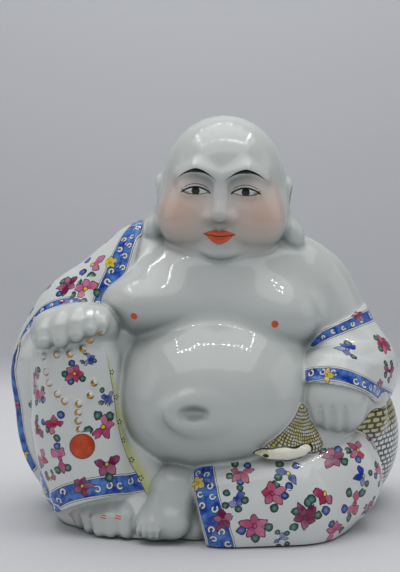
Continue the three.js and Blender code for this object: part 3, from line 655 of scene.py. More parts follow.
# Sprigs on the cloth: place in the sculpt, ink, size and turn in degrees
frontSprigs = [
    ((-40.6, -20.6, 37.6), "magenta", 0.98, 95), ((-39.9, -22.1, 34.1), "pink", 0.96, 80),
    ((-39.6, -23.2, 26), "purple", 1, 10), ((-39.3, -22, 18.3), "pink", 1.1, 60),
    ((-35.6, -26.2, 27.1), "rose", 1.14, 100), ((-34.4, -26.3, 19.1), "pink", 1.19, 70),
    ((-36.9, -23.9, 13.6), "magenta", 0.86, 30), ((-24.1, -25.5, 26.7), "pink", 1.4, 150),
    ((-23.3, -26.7, 17.9), "magenta", 1.3, 95), ((-23.1, -24.1, 33.7), "blue", 0.82, 100),
    ((-30.7, -26.5, 39.7), "rose", 0.96, 0), ((-27.4, -25.7, 43), "blue", 0.68, 20),
    ((8.4, -31, 17), "rose", 1.09, 15), ((19.5, -31.6, 16.9), "blue", 1.16, 18),
    ((30.2, -26.2, 19.4), "magenta", 1.21, 85), ((36.8, -22.7, 20.4), "rose", 1.09, 60),
    ((42.4, -20, 14.2), "pink", 0.98, 80), ((37.8, -25.3, 14.7), "blue", 0.98, 40),
    ((15.6, -34.2, 12.8), "rose", 1.21, 95), ((28, -31.8, 12.1), "rose", 1.39, 88),
    ((6.9, -34.8, 11.8), "blue", 1.03, 30), ((35.6, -26.8, 8.3), "rose", 1.32, 80),
    ((23.4, -34.8, 7.3), "magenta", 1.28, 45), ((11.5, -35.8, 5.6), "pink", 1.32, 95),
    ((30.7, -29.9, 2.6), "pink", 1.19, 20), ((39.9, -21.3, 5.9), "magenta", 0.91, 50),
    ((17.6, -34.8, 2.2), "blue", 0.82, 0), ((34.5, -16.7, 43.9), "blue", 1.25, 90),
    ((44.4, -7.5, 43.7), "rose", 1.05, 100), ((45.7, -10.1, 37.3), "magenta", 0.96, 10),
    ((-28.3, -4.6, 63.6), "pink", 1.4, 50), ((-34.2, -5, 58.4), "magenta", 1.25, 60),
    ((-29.8, -8.8, 58), "pink", 1.3, 100),
]
bandFlowers = [
    ((-23.4, -6.9, 64), "yellow", 0.8, 100), ((-39.3, -19.3, 9), "yellow", 0.7, 40),
    ((-29.1, -27.8, 12.9), "magenta", 1, 5), ((-1.7, -30.6, 14.4), "yellow", 0.9, 130),
    ((4.1, -36, 7.1), "magenta", 1, 100), ((38.1, -8, 50.7), "magenta", 0.76, 30),
    ((28.7, -23.4, 38.8), "yellow", 0.8, 0), ((42.8, -14.3, 34.6), "magenta", 0.76, 160),
    ((-34.8, -8.3, 54.4), "magenta", 0.56, 0), ((-46, -7, 43.6), "yellow", 0.6, 70),
    ((-47.6, -4.6, 28), "magenta", 0.6, 90), ((-45.5, -4, 15), "yellow", 0.6, 80),
    ((-4, 15.4, 68.6), "yellow", 0.8, 10), ((14, 15.4, 65.6), "magenta", 0.8, 60),
    ((30, 11, 56), "yellow", 0.8, 130), ((39, 8.6, 45.4), "magenta", 0.8, 100),
]
marks = {  # small painted marks: their ink and places
    "disc": ("ironRed", [(-29, -27.5, 22.4)]),
    "nail": ("ironRed", [(-32.8, -18.7, 3.2), (-30.2, -22.2, 4.1), (-27.3, -25.4, 4.9), (-24.1, -27.7, 5.4),
                         (-20.6, -28.6, 5.5)]),
    "nipple": ("ironRed", [(-16.9, -21.1, 52.5), (16.7, -21.1, 50.6)]),
    "dot": ("outline", [(-22.1, -22.5, 39.3), (-21.2, -22.3, 33.2), (-20.5, -21.9, 27.1),
                        (-19.5, -22.7, 22.8), (-17.6, -22.8, 18), (-15.3, -24.1, 13.9)]),
    "hole": ("black", [(14.3, -30.3, 20.9)]),
}
# How far in mm a motif of each kind reaches from its middle. The mesh holds the kinds as numbers from 1.
reaches = {
    "sprig": 11.5, "bandFlower": 8.2, "bead": 3.2, "disc": 9, "nail": 4, "nipple": 3, "dot": 3.4, "hole": 4,
}
lining = {
    "line": [(-23.9, -22.9, 45.6), (-22.6, -23, 39.2), (-21.7, -22.8, 33.3), (-20.9, -22.5, 27.2),
             (-20, -23.1, 22.9), (-18.2, -23.2, 18.1), (-15.8, -24, 13.9), (-14.4, -24.3, 10.9),
             (-13.6, -24.4, 9.4)],
    "reach": 14,  # the rest in mm
    "washTop": 2.4,
    "washGrows": 6.4,
}
bands = {  # the painted borders: the part that carries each, half its width in mm at both ends, its line
    "robeFront": ("mantle", 6.6, 7.6, [
        (-11, 8, 72.6), (-14.4, 2, 73.6), (-17.8, -2.9, 71.4), (-19.9, -6, 67.4), (-21.9, -8.8, 62.2),
        (-23.7, -10.8, 57.9), (-25, -12.2, 54)]),
    "sleeveEdge": ("rightSleeve", 2.9, 5.4, [
        (-24.3, -17.3, 54.7), (-26, -16.4, 55.2), (-28.6, -12.6, 55.2), (-31.7, -9.4, 54.8),
        (-34.8, -8.3, 54.4), (-37.9, -7, 53.4), (-40.5, -6, 51.9), (-42.6, -5.8, 49.9), (-44.4, -5.8, 47.2),
        (-46, -7, 44), (-47.4, -6.6, 40.1), (-48.1, -5.9, 36.9), (-48.1, -5.4, 33.7), (-47.8, -4.8, 30.6),
        (-47.4, -4.3, 27.4), (-47.2, -3.9, 24.3), (-46.9, -3.6, 21.1), (-46.4, -3.5, 18),
        (-45.5, -3.6, 14.9), (-44.1, -4.1, 11.9)]),
    "hemTurn": ("rightLeg", 4.6, 5.4, [
        (-44.4, -5, 14.6), (-43.4, -11, 15.6), (-41.6, -16, 15.4), (-40.2, -19, 13.4), (-38.9, -20.8, 10.6),
        (-37.6, -21.8, 8), (-36.2, -22.4, 6)]),
    "robeHem": ("rightLeg", 6, 6.2, [
        (-37.6, -20.6, 6.2), (-35.2, -24.6, 9), (-32.8, -26.5, 10.6), (-28.6, -27.8, 12.1),
        (-24.6, -27.7, 12.8), (-20.9, -26.4, 12.9), (-17.5, -24, 12.6), (-15.4, -24.2, 13),
        (-13.4, -24.5, 13.2)]),
    "trouserHem": ("leftLeg", 7.2, 8.6, [
        (-1.3, -28.8, 19), (-0.7, -29.6, 16.9), (0, -31.8, 14.2), (0.5, -33.8, 11.4), (1.3, -35.1, 8.7),
        (2.3, -35.7, 5.8), (3.2, -35.7, 2.9), (3.9, -35.2, -1)]),
    "sleeveTop": ("leftSleeve", 3.4, 4.6, [
        (25.9, -13, 44.8), (27.6, -12.8, 45.6), (29.6, -12.5, 46.7), (33.1, -11.6, 48.1), (36.7, -9.7, 49.3),
        (40.1, -6.2, 50.1), (42.4, -1.6, 50.4), (43.4, 4, 50.4)]),
    "sleeveCuff": ("leftSleeve", 4.8, 4.8, [
        (23.6, -19.6, 37.2), (25.1, -21.6, 38.4), (26.9, -22.6, 38.9), (30.1, -23.4, 39.1),
        (33.5, -23.4, 38.5), (36.9, -22.3, 37), (40.9, -17.7, 34.2), (44.7, -11, 31.2), (47.2, -4, 29),
        (48, 2, 28)]),
    "collar": ("mantle", 5.6, 5.6, [
        (-11, 8, 72.6), (-7, 15.4, 68.6), (0, 17, 67.6), (8, 17.2, 66.2), (17, 15.6, 63.4), (25, 13.4, 58.6),
        (32, 11.4, 52.6), (38, 9.6, 46), (42, 8, 41)]),
}
bandApart = 100.0  # mm added along a border for each one before it, so that their scrolls differ
besideBand = 6  # mm round a border in which its places are written too
offBand = -50.0  # written where there is no border and no lining
generic = {  # the sprigs that the photo doesn't show
    "inks": ("pink", "rose", "magenta", "blue", "pink", "purple", "rose"),
    "apart": 8.2,  # hundredths of the height between sprigs
    "above": 5,
    "offBorders": 9,  # mm
    "offSack": 3,
    "camera": (-1.2, -352, 100),
    "facing": 0.12,  # how little of a place may face that camera
    "size": (0.78, 0.98),
    "tries": 6000,
    "seed": 11,
}
weave = {  # the bag's middle and radius, and the knot that the mouth's pattern fans out from
    "bagMiddle": (38.2, 6, 17),
    "bagRadius": 15,
    "knot": (22.8, -24.3, 31.2),
    "fanWidth": 22,
    "mouthEnds": 30,
}
mm = 2.5  # millimetres in a hundredth of the height
corners = readAll(mesh.loops, "vertex_index")
starts, widths = readAll(mesh.polygons, "loop_start"), readAll(mesh.polygons, "loop_total")
faceOf = np.repeat(np.arange(len(starts)), widths)


def perFace(pick, values):  # the sum, least or greatest over each face's corners
    return pick.reduceat(values[corners], starts, axis=0)


def writeLayer(name, values, domain="POINT"):
    kind, key = ("FLOAT", "value") if values.ndim == 1 else ("FLOAT_VECTOR", "vector")
    layer = mesh.attributes.new(name, kind, domain)
    layer.data.foreach_set(key, values.astype(np.float32).ravel())


def near(form, chosen, far=9):  # a form's distance at some of the points
    values = np.full(len(points), float(far))
    if chosen.any():
        values[chosen] = sample(form, points[chosen])
    return values


centres = perFace(np.add, points) / widths[:, None]
faceNormals = perFace(np.add, normals) / widths[:, None]
everyone = np.ones(len(points), bool)
clothEdge = np.clip(near(parts["bare"], everyone) - near(parts["cloth"], everyone), -4, 4) * mm
rightSide = points[:, 0] > 8
others = near(parts["unsacked"], rightSide, 0)
gathers = near(parts["cone"], rightSide)
sackZone = np.stack([
    others - near(parts["bag"], rightSide),
    others - gathers,
    np.minimum(others, gathers) - near(parts["lip"], rightSide)], 1)
sackZone = np.clip(sackZone, -4, 4) * mm
writeLayer("sackZone", sackZone)


# the depth of the painted shade: this layer darkens the glaze in crevices, and on bare undersides that face
# down, where shade falls
def cavities():  # how deep each point lies in a crevice, and how far under a swell of the body
    deep = np.zeros(len(points))
    for reach in (1.0, 2.4, 5.0):
        deep += np.clip(1 - sample(parts["whole"], points + normals * reach) / reach, 0, 2) / 3
    return deep + np.clip(0.15 - normals[:, 2], 0, 1) * (clothEdge < 0)


def headSpots():  # in mm in the head's own upright frame, for the enamels of the face
    upright = (points - np.array(head["centre"])) @ turnRows(head["turn"]).T + (0, 0, head["centre"][2])
    return np.where(points[:, 2:] > 60, upright, 0) * mm


def weaveSpots():  # round and up the bag, or out from the knot over the sack's mouth
    bag, knot = points - weave["bagMiddle"], points - weave["knot"]
    onCone = (sackZone[:, 1] > sackZone[:, 0] - 1) & (points[:, 0] < weave["mouthEnds"])
    around = np.arctan2(bag[:, 0], -bag[:, 1]) * weave["bagRadius"] * mm
    fanned = np.arctan2(knot[:, 0] + 0.3 * knot[:, 1], -knot[:, 2]) * weave["fanWidth"]
    return np.stack([
        np.where(onCone, fanned, around), np.where(onCone, length(knot), bag[:, 2]) * mm, onCone], 1)


writeLayer("cavity", cavities())
writeLayer("headSpot", headSpots())
writeLayer("weave", weaveSpots())
print("zones done")


def besideLine(run, form, chosen):  # how near, how far along, and how far to its left or right
    steps = np.diff(run, axis=0)
    lengths = length(steps)
    tangents = steps / lengths[:, None]
    sides = np.cross(slopes(form, (run[1:] + run[:-1]) / 2), tangents)
    travelled = np.concatenate([[0], np.cumsum(lengths)])
    gap, along, across = np.tile([[1e3], [0], [0]], len(chosen))
    for i in range(len(steps)):
        offset = points[chosen] - run[i]
        t = np.clip(offset @ tangents[i], 0, lengths[i])
        rest = offset - t[:, None] * tangents[i]
        away = length(rest)
        closer = away < gap
        gap[closer] = away[closer]
        along[closer] = travelled[i] + t[closer]
        across[closer] = (np.sign(rest @ sides[i]) * away)[closer]
    return gap * mm, along * mm, across * mm, travelled[-1] * mm


def bandSpots():
    edge, along, across, whose = np.tile([[offBand], [0], [0], [-1]], len(points))
    for number, (carrier, wide0, wide1, line) in enumerate(bands.values()):
        run = settle(parts[carrier], smoothRun(line, 60), 0.1, 4)
        nearby = ((points > run.min(0) - 5) & (points < run.max(0) + 5)).all(1)
        chosen = np.flatnonzero(nearby & (clothEdge > -besideBand - 1))
        gap, place, side, total = besideLine(run, parts[carrier], chosen)
        inside = wide0 + (wide1 - wide0) * place / total - gap
        better = inside > edge[chosen]
        spot = chosen[better]
        edge[spot], along[spot], across[spot] = inside[better], place[better], side[better]
        whose[spot] = number
    return edge, along, across, whose


def liningSpots():  # how far right of the lining's edge, how wide its wash is there, and how strong
    run = settle(parts["unsacked"], smoothRun(lining["line"], 40))
    gap, place, side, total = besideLine(run, parts["unsacked"], everyone)
    place = place / total
    there = (place > 0) & (place < 1) & (gap < lining["reach"])
    width = lining["washTop"] + lining["washGrows"] * place
    return np.stack([np.where(there, side, offBand), width, np.minimum(place * 5, 1)], 1)


edge, along, across, whose = bandSpots()
onFront = (whose == list(bands).index("robeFront")) & (edge > -2)
clothEdge[onFront] += 6  # the enamel of the front border runs over the cloth's edge
writeLayer("clothEdge", clothEdge)
writeLayer("lining", liningSpots())
nearBand = perFace(np.minimum, edge) > -besideBand
sameBand = perFace(np.minimum, whose) == perFace(np.maximum, whose)
onBand = (nearBand & sameBand)[faceOf]
writeLayer("band", np.stack([
    np.where(onBand, along[corners] + bandApart * whose[corners], 0),
    np.where(onBand, across[corners], 0),
    np.where(onBand, edge[corners], offBand)], 1), "CORNER")
print("bands done")


def genericSprigs():  # sprigs for the sides and back, evenly scattered and clear of the borders
    rng = np.random.default_rng(generic["seed"])
    view = np.array(generic["camera"]) - centres
    view /= length(view)[:, None]
    free = (perFace(np.add, clothEdge) / widths > 1) & (centres[:, 2] > generic["above"])
    free &= perFace(np.maximum, edge) < -generic["offBorders"]
    free &= perFace(np.maximum, sackZone.max(1)) < -generic["offSack"]
    free &= np.einsum("ij,ij->i", view, faceNormals) < generic["facing"]
    taken = [np.array(sprig[0]) for sprig in frontSprigs]
    made = []
    for face in rng.permutation(np.flatnonzero(free))[:generic["tries"]]:
        if length(np.array(taken) - centres[face]).min() > generic["apart"]:
            taken.append(centres[face])
            ink = generic["inks"][rng.integers(len(generic["inks"]))]
            made.append((centres[face], ink, rng.uniform(*generic["size"]), rng.uniform(0, 360)))
    return made


def motifRows():  # each motif's place, kind, ink, size and turn
    rows = [(spot, "sprig", *look) for spot, *look in frontSprigs + genericSprigs()]
    rows += [(spot, "bandFlower", *look) for spot, *look in bandFlowers]
    rows += [(spot, "bead", "gold", 1, 0) for spot in settle(parts["unsacked"], beadSpots)]
    rows += [(spot, kind, ink, 1, 0) for kind, (ink, places) in marks.items() for spot in places]
    return rows


def writeMotifs():  # each face gets the motif that it lies deepest in, and a mark before a flower
    spots, kinds, names, sizes, turns = zip(*motifRows())
    homes = settle(parts["whole"], spots)
    outs = slopes(parts["whole"], homes)
    best, owner = np.full(len(centres), 1.0), np.full(len(centres), -1)
    for number, (home, out, kind, size) in enumerate(zip(homes, outs, kinds, sizes)):
        away = length(centres - home) * mm / (reaches[kind] * size)
        limit = best if kind in ("sprig", "bandFlower") else 1
        taken = (away < limit) & (faceNormals @ out > 0.1)
        best[taken], owner[taken] = away[taken], number
    rights = np.cross((0, 0, 1), outs)
    rights /= length(rights)[:, None]
    ups = np.cross(outs, rights)
    turns = np.radians(turns)[:, None]
    axes = rights * np.cos(turns) + ups * np.sin(turns), ups * np.cos(turns) - rights * np.sin(turns)
    mine = owner[faceOf]
    there = (mine >= 0)[:, None]
    offset = (points[corners] - homes[mine]) * mm / np.array(sizes)[mine][:, None]
    u, v = (np.einsum("ij,ij->i", offset, axis[mine]) for axis in axes)
    numbers = np.array([list(reaches).index(kind) + 1 for kind in kinds])
    writeLayer("motif", np.where(there, np.stack([u, v, mine.astype(float)], 1), 99), "CORNER")
    writeLayer("motifKind", np.where(there[:, 0], numbers[mine], 0), "CORNER")
    writeLayer("motifInk", np.where(there, np.array([linear(name)[:3] for name in names])[mine], 0), "CORNER")
    print("motifs:", len(spots))


writeMotifs()


class Wire:  # a socket that takes Python's operators, each of which adds a Math node
    def __init__(self, paint, socket):
        self.paint, self.socket = paint, socket

    def maths(self, operation, *others):
        return self.paint.maths(operation, self, *others)

    __add__ = __radd__ = partialmethod(maths, "ADD")
    __sub__ = partialmethod(maths, "SUBTRACT")
    __mul__ = __rmul__ = partialmethod(maths, "MULTIPLY")
    __truediv__ = partialmethod(maths, "DIVIDE")
    __gt__ = partialmethod(maths, "GREATER_THAN")
    __lt__ = partialmethod(maths, "LESS_THAN")
    __neg__ = partialmethod(maths, "MULTIPLY", -1)
    __abs__ = partialmethod(maths, "ABSOLUTE")

    def __rsub__(self, other):
        return self.paint.maths("SUBTRACT", other, self)


class Paint:  # the nodes of one material
    def __init__(self, name):
        self.material = bpy.data.materials.new(name)
        self.material.use_nodes = True
        self.tree = self.material.node_tree
        self.tree.nodes.clear()

    def node(self, kind, settings=None, values=None, out=0):
        made = self.tree.nodes.new(kind)
        for key, value in (settings or {}).items():
            setattr(made, key, value)
        for key, value in (values or {}).items():
            if isinstance(value, Wire):
                self.tree.links.new(value.socket, made.inputs[key])
            else:
                made.inputs[key].default_value = value
        return Wire(self, made.outputs[out]) if made.outputs else made

    def maths(self, operation, *values):
        return self.node("ShaderNodeMath", {"operation": operation}, dict(enumerate(values)))

    def painted(self, name, out):  # what the mesh carries there
        return self.node("ShaderNodeAttribute", {"attribute_name": name}, out=out)

    def number(self, name):
        return self.painted(name, 2)

    def triple(self, name):
        return self.split(self.painted(name, 1))

    def split(self, vector):
        made = self.node("ShaderNodeSeparateXYZ", {}, {0: vector})
        return [Wire(self, socket) for socket in made.socket.node.outputs]

    def place(self):  # in the object's own metres
        return self.node("ShaderNodeTexCoord", out=3)

    def ramp(self, value, low, high):  # 0 at low, 1 at high
        return self.node("ShaderNodeMapRange", {}, {"Value": value, "From Min": low, "From Max": high})

    def fill(self, inside, soft=0.22):  # 1 where a distance in mm is above nought
        return self.ramp(inside, -soft / 2, soft / 2)

    def stroke(self, gap, half):  # 1 within half of a line
        return self.fill(half - abs(gap))

    def least(self, *values):
        return reduce(lambda a, b: self.maths("MINIMUM", a, b), values)

    def most(self, a, b):
        return self.maths("MAXIMUM", a, b)

    def mix(self, mask, under, over):  # colours are inks by name, linear colours or wires
        under, over = (linear(value) if isinstance(value, str) else value for value in (under, over))
        return self.node("ShaderNodeMix", {"data_type": "RGBA"}, {0: mask, 6: under, 7: over}, 2)

    def lay(self, inside, under, over, mask=1):  # a coat of paint where a distance in mm is above nought
        return self.mix(self.fill(inside) * mask, under, over)

    def noise(self, spot, scale, detail=2.0, out=0):
        values = {"Vector": spot, "Scale": scale, "Detail": detail}
        return self.node("ShaderNodeTexNoise", {}, values, out)

    def chances(self, value):  # three numbers out of a hat
        return self.split(self.node("ShaderNodeTexWhiteNoise", {"noise_dimensions": "1D"}, {"W": value}, 1))

    def far(self, x, y):
        return (x * x + y * y).maths("SQRT")

    def outlined(self, inside, rim, under, over, mask=1):  # a patch of colour with a dark line round it
        return self.lay(inside - rim, self.lay(inside, under, "outline", mask), over, mask)

    def sector(self, u, v, seed):  # the place within one of five petals, and that petal's own chances
        angle = self.maths("ARCTAN2", v, u) * (5 / (2 * math.pi))
        number = angle.maths("ROUND")
        turn = (angle - number) * (2 * math.pi / 5)
        away = self.far(u, v)
        return away * turn.maths("COSINE"), away * turn.maths("SINE"), self.chances(seed * 16 + number)


sprigLook = {  # in mm, for a sprig of size 1
    "wander": 1.6,
    "leafRadius": 2.1, "leafRim": 0.5, "leafOut": 5.4,
    "petalHalf": 2.5, "petalWide": 1.75, "petalRim": 0.42,
    "heart": 1.25, "heartRim": 0.4,
}


def paintSprigs(paint, colour, cloth, wobble):
    u, v, seed = paint.triple("motif")
    seed = seed.maths("ROUND")
    kind = paint.number("motifKind")
    ink = paint.painted("motifInk", 0)
    u, v = (value + (wobble[i] - 0.5) * sprigLook["wander"] for i, value in enumerate((u, v)))
    flower = (kind > 0.5) * (kind < 2.5) * (cloth > -0.2)
    # leaves and buds, between the petals and partly under them
    x, y, (reach, side, luck) = paint.sector(-u, -v, seed + 0.5)
    leaf = sprigLook["leafRadius"] - paint.far(x - reach * 1.7 - sprigLook["leafOut"], y - side * 1.8 + 0.9)
    has = (luck > 0.36) * flower * (kind < 1.5)
    leafInk = paint.mix(luck > 0.84, "leaf", "blue")
    leafInk = paint.mix(paint.ramp(leaf + wobble[2], 1.2, 2.6) * 0.5, leafInk, linear("leaf", 0.6))
    colour = paint.outlined(leaf, sprigLook["leafRim"], colour, leafInk, has)
    # petals
    x, y, (longer, wider, luck) = paint.sector(u, v, seed)
    half, width = longer * 1.3 + sprigLook["petalHalf"], wider * 0.7 + sprigLook["petalWide"]
    along = (x - half - 0.3) / half
    petal = (1 - paint.far(along, y / (width * (1.06 - along * 0.22 - along * along * 0.3)))) * width
    tint = paint.ramp(along * 0.7 + (luck - 0.6) * 3 + (wobble[2] - 0.5) * 2, -1, 1)
    inkParts = paint.split(ink)
    tip = paint.mix(inkParts[2] > inkParts[0], "blossom", "white")
    petalInk = paint.mix(tint, ink, paint.mix(0.4, ink, tip))
    vein = paint.stroke(abs(y) - 0.6, 0.1) * 0.35
    petalInk = paint.mix(vein, petalInk, paint.mix(0.5, ink, "outline"))
    colour = paint.outlined(petal, sprigLook["petalRim"], colour, petalInk, (luck > 0.2) * flower)
    heart = sprigLook["heart"] - paint.far(u, v)
    pale = paint.mix(paint.chances(seed)[0] > 0.55, petalInk, "yellow")
    return paint.outlined(heart, sprigLook["heartRim"], colour, pale, flower)


markSizes = {  # radii in mm
    "bead": 2.05, "discRim": 7.6, "disc": 7.2, "nipple": 2.2, "hole": 1.6, "dot": 0.5, "dotsApart": 1.3}


def paintMarks(paint, colour, washes):  # beads, disc, nails, nipples and the dots of the lining
    u, v, seed = paint.triple("motif")
    kind = paint.number("motifKind")
    away = paint.far(u, v)

    def isKind(name):
        return abs(kind - (list(reaches).index(name) + 1)) < 0.5

    bead = isKind("bead")
    crescent = paint.least(markSizes["bead"] - away, paint.far(u - 0.75, v - 0.6) - 1.7)
    colour = paint.lay(crescent + 0.18, colour, linear("outline", 0.1), bead)
    gilt = paint.fill(crescent) * bead
    colour = paint.mix(gilt, colour, "gold")
    red = paint.mix(paint.ramp(washes, 0.3, 0.66) * 0.7, "ironRed", "rust")
    red = paint.mix(paint.ramp(away, 5.6, markSizes["disc"]) * 0.5, red, "rust")
    rim = markSizes["discRim"] - markSizes["disc"]
    colour = paint.outlined(markSizes["discRim"] - away, rim, colour, red, isKind("disc"))
    nail = paint.least(2 - abs(u), 0.34 - abs(abs(v) - 0.72))  # two strokes side by side
    colour = paint.lay(nail, colour, "ironRed", isKind("nail"))
    colour = paint.lay(markSizes["nipple"] - away, colour, "ironRed", isKind("nipple"))
    hole = markSizes["hole"] - paint.far(u * 0.75 + v * 0.5, v * 1.2 - u * 0.4)
    colour = paint.lay(hole, colour, "black", isKind("hole"))
    x, y, _ = paint.sector(u, v, seed.maths("ROUND"))
    dot = markSizes["dot"] - paint.far(x - markSizes["dotsApart"], y)
    return paint.lay(dot, colour, "outline", isKind("dot")), gilt


border = {  # in mm
    "rims": (0, 0.34, 0.95, 1.25),  # a dark line, a white one and a dark one, then the blue
    "twoRows": 5.4,  # half the blue's width from which it has two rows of scrolls
    "apart": 7.2,
    "largest": 2.1,
    "line": 0.5,
}


def paintBands(paint, colour, cloth, liningEdge, washes, wobble):
    s, t, edge = paint.triple("band")
    edge = edge + (wobble[1] - 0.5) * 0.5
    onCloth = paint.fill(cloth - 0.2) * (liningEdge < 0)
    blue = paint.mix(paint.ramp(washes, 0.36, 0.64), "cobalt", "sky")
    # white scrolls, in one row along a narrow border and two along a wide one
    inner = edge + abs(t) - 1.3
    two = inner > border["twoRows"]
    height = inner * (2 - two)
    radius = paint.least(height * 0.37 - 0.35, border["largest"])
    row = (t / height + 0.5 - two * 0.5).maths("FLOOR")
    along = s / border["apart"] + row * 0.5
    cell = along.maths("FLOOR")
    shift, lift, start = paint.chances(cell * 7 + row * 3)
    x = (along - cell - 0.5) * border["apart"] + (shift - 0.5) * 1.2
    y = t - (row + two * 0.5) * height + (lift - 0.5) * (height - radius * 2 - 0.8)
    facing = (paint.maths("ARCTAN2", y, x) / (2 * math.pi) + start + 1).maths("FRACT")
    scroll = border["line"] - abs(paint.far(x, y) - radius * (facing * 0.5 + 0.52))
    scroll = paint.least(scroll, (0.84 - facing) * 9, (shift > 0.1) - 0.5, edge - 1.7)
    blue = paint.lay(scroll, paint.lay(scroll + 0.34, blue, "outline"), "white")
    for rim, layer in zip(border["rims"], ("outline", "white", "outline", blue)):
        colour = paint.lay(edge - rim, colour, layer, onCloth)
    return colour


# the cells' width and height and half the line's width in mm
basket = {"bag": (4.7, 3.4, 0.7), "mouth": (1.8, 2, 0.37)}


def paintSack(paint, colour, washes, wobble):
    bagEdge, coneEdge, lipEdge = paint.triple("sackZone")
    a, b, onCone = paint.triple("weave")
    # a coarse basket weave on the bag, and a fine one that fans out over the mouth
    wide, high, line = (onCone * (fine - coarse) + coarse
                        for coarse, fine in zip(basket["bag"], basket["mouth"]))
    a, b = a + (washes - 0.5) * 3, b + (wobble[0] - 0.5) * 1.6
    row = (b / high).maths("FLOOR")
    upright = (a / wide + row * 0.5 * (1 - onCone)).maths("FRACT") - 0.5
    level = (b / high).maths("FRACT") - 0.5
    seam = line - paint.least((0.5 - abs(upright)) * wide, (0.5 - abs(level)) * high)
    yellow = paint.ramp(b, 8, 18) * (1 - onCone) + onCone * paint.ramp(washes, 0.34, 0.6)
    cloth = paint.mix(yellow * (0.8 + onCone * 0.1), "white", "straw")
    cord = paint.mix(onCone, "black", "strawLine")
    woven = paint.mix(paint.fill(seam, 0.3) * 0.9, cloth, cord)
    lip = paint.mix(paint.ramp(a, -14, -26), linear("straw", 0.82), linear("straw", 0.1))
    colour = paint.outlined(bagEdge - 0.3, 0.4, colour, woven)
    colour = paint.outlined(coneEdge - 0.2, 0.4, colour, woven)
    return paint.outlined(lipEdge + 0.6, 1.2, colour, lip)


# in mm in the head's frame: how far out and how high
face = {"eye": (15, 204.3), "cheek": (25, 192), "mouth": 178.2, "iris": 2.5, "browUp": 12.9}


def paintFace(paint, colour):  # eyes, brows and lips laid out on the sculpted ones
    x, y, z = paint.triple("headSpot")
    front = (y < -20) * (z > 160)
    side = abs(x)
    blush = paint.ramp(paint.far((side - face["cheek"][0]) * 0.9, z - face["cheek"][1]), 26, 4)
    colour = paint.mix(blush * front * 0.55, colour, "blush")
    ex, ez = side - face["eye"][0], z - face["eye"][1]
    bow = ex * ex
    upper, lower = 2.9 - bow * 0.045, bow * 0.0235 - 1.5
    eye = paint.least(upper - ez, ez - lower)
    colour = paint.lay(eye, colour, "white", front)
    colour = paint.lay(paint.least(eye, face["iris"] - paint.far(ex, ez - 0.5)), colour, "black", front)
    lash = paint.least(0.55 - abs(ez - upper), 8.9 - abs(ex))
    rim = paint.least(0.2 - abs(ez - lower), 8 - abs(ex))
    fold = paint.least(0.2 - abs(ez - upper - 1.9), 7 - abs(ex))
    colour = paint.lay(paint.most(rim, fold), colour, "outline", front)
    brow = 1.25 - abs(ex) * 0.1 - abs(ez - face["browUp"] + bow * 0.039)
    colour = paint.lay(paint.most(lash, brow), colour, "black", front)
    line = z - face["mouth"] - x * x * 0.012
    top = 4.0 - x * x * 0.04 - paint.most(0.9 - side * 0.45, 0)
    lips = paint.least(top - line, line + 4.9 - x * x * 0.064)
    colour = paint.lay(lips, colour, linear("ironRed", 0.05), front)
    return paint.lay(paint.least(0.32 - abs(line), 9.6 - side), colour, "outline", front)


finish = {
    "roughness": 0.045,
    "waves": [(36.0, 0.00055), (170.0, 0.00005)],  # unevenness of the glaze: scale, and depth in metres
    "slip": 0.75,  # how strongly each coat shows
    # how strongly the painted shade shows in crevices and under the body's swells
    "paintedShade": 0.85,
    "wash": 0.95,
    "gilt": 0.9,
    "footLine": 0.8,  # mm up from the table
}


def makeGlaze():
    paint = Paint("glazed porcelain")
    spot = paint.place()
    wobble = paint.split(paint.noise(spot, 260.0, 1.0, out=1))
    washes = paint.noise(spot, 210.0)
    cloth = paint.number("clothEdge")
    tone = paint.ramp(paint.noise(spot, 22.0), 0.35, 0.65)
    colour = paint.mix(tone * 0.25, "porcelain", linear("porcelain", 0.25))
    colour = paint.mix(paint.fill(cloth) * finish["slip"], colour, "slip")
    # painted shade: the cavity layer makes crevices and downward-facing undersides darker
    paintedShade = paint.ramp(paint.number("cavity"), 0.3, 1.25)
    colour = paint.mix(paintedShade * finish["paintedShade"], colour, "paintedShade")
    liningEdge, liningWidth, strength = paint.triple("lining")
    wash = paint.ramp(liningEdge, -0.4, 0.8) * paint.ramp(liningEdge / liningWidth, 1, 0.3) * strength
    colour = paint.mix(wash * paint.ramp(washes, 0.1, 0.5) * finish["wash"], colour, "wash")
    colour = paintBands(paint, colour, cloth, liningEdge, washes, wobble)
    colour = paintSprigs(paint, colour, cloth, wobble)
    colour = paintSack(paint, colour, washes, wobble)
    colour, gilt = paintMarks(paint, colour, washes)
    colour = paint.mix(paint.stroke(liningEdge, 0.22) * strength, colour, linear("outline", 0.1))
    # the figure is painted dark along its bottom, up to footLine mm above the table, in the outline ink
    height = paint.split(spot)[2] * 1000
    colour = paint.lay(finish["footLine"] - height, colour, "outline")
    colour = paintFace(paint, colour)
    bump = {}
    for scale, depth in finish["waves"]:
        values = {"Height": paint.noise(spot, scale, 1.5), "Distance": depth, "Strength": 1.0, **bump}
        bump = {"Normal": paint.node("ShaderNodeBump", {}, values)}
    shader = paint.node("ShaderNodeBsdfPrincipled", {}, {
        "Base Color": colour, "Roughness": finish["roughness"], "IOR": 1.5, "Metallic": gilt * finish["gilt"],
        **bump})
    paint.node("ShaderNodeOutputMaterial", {}, {"Surface": shader})
    return paint.material


mesh.materials.append(makeGlaze())
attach(figure, "root")
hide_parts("figure")
print("painted")

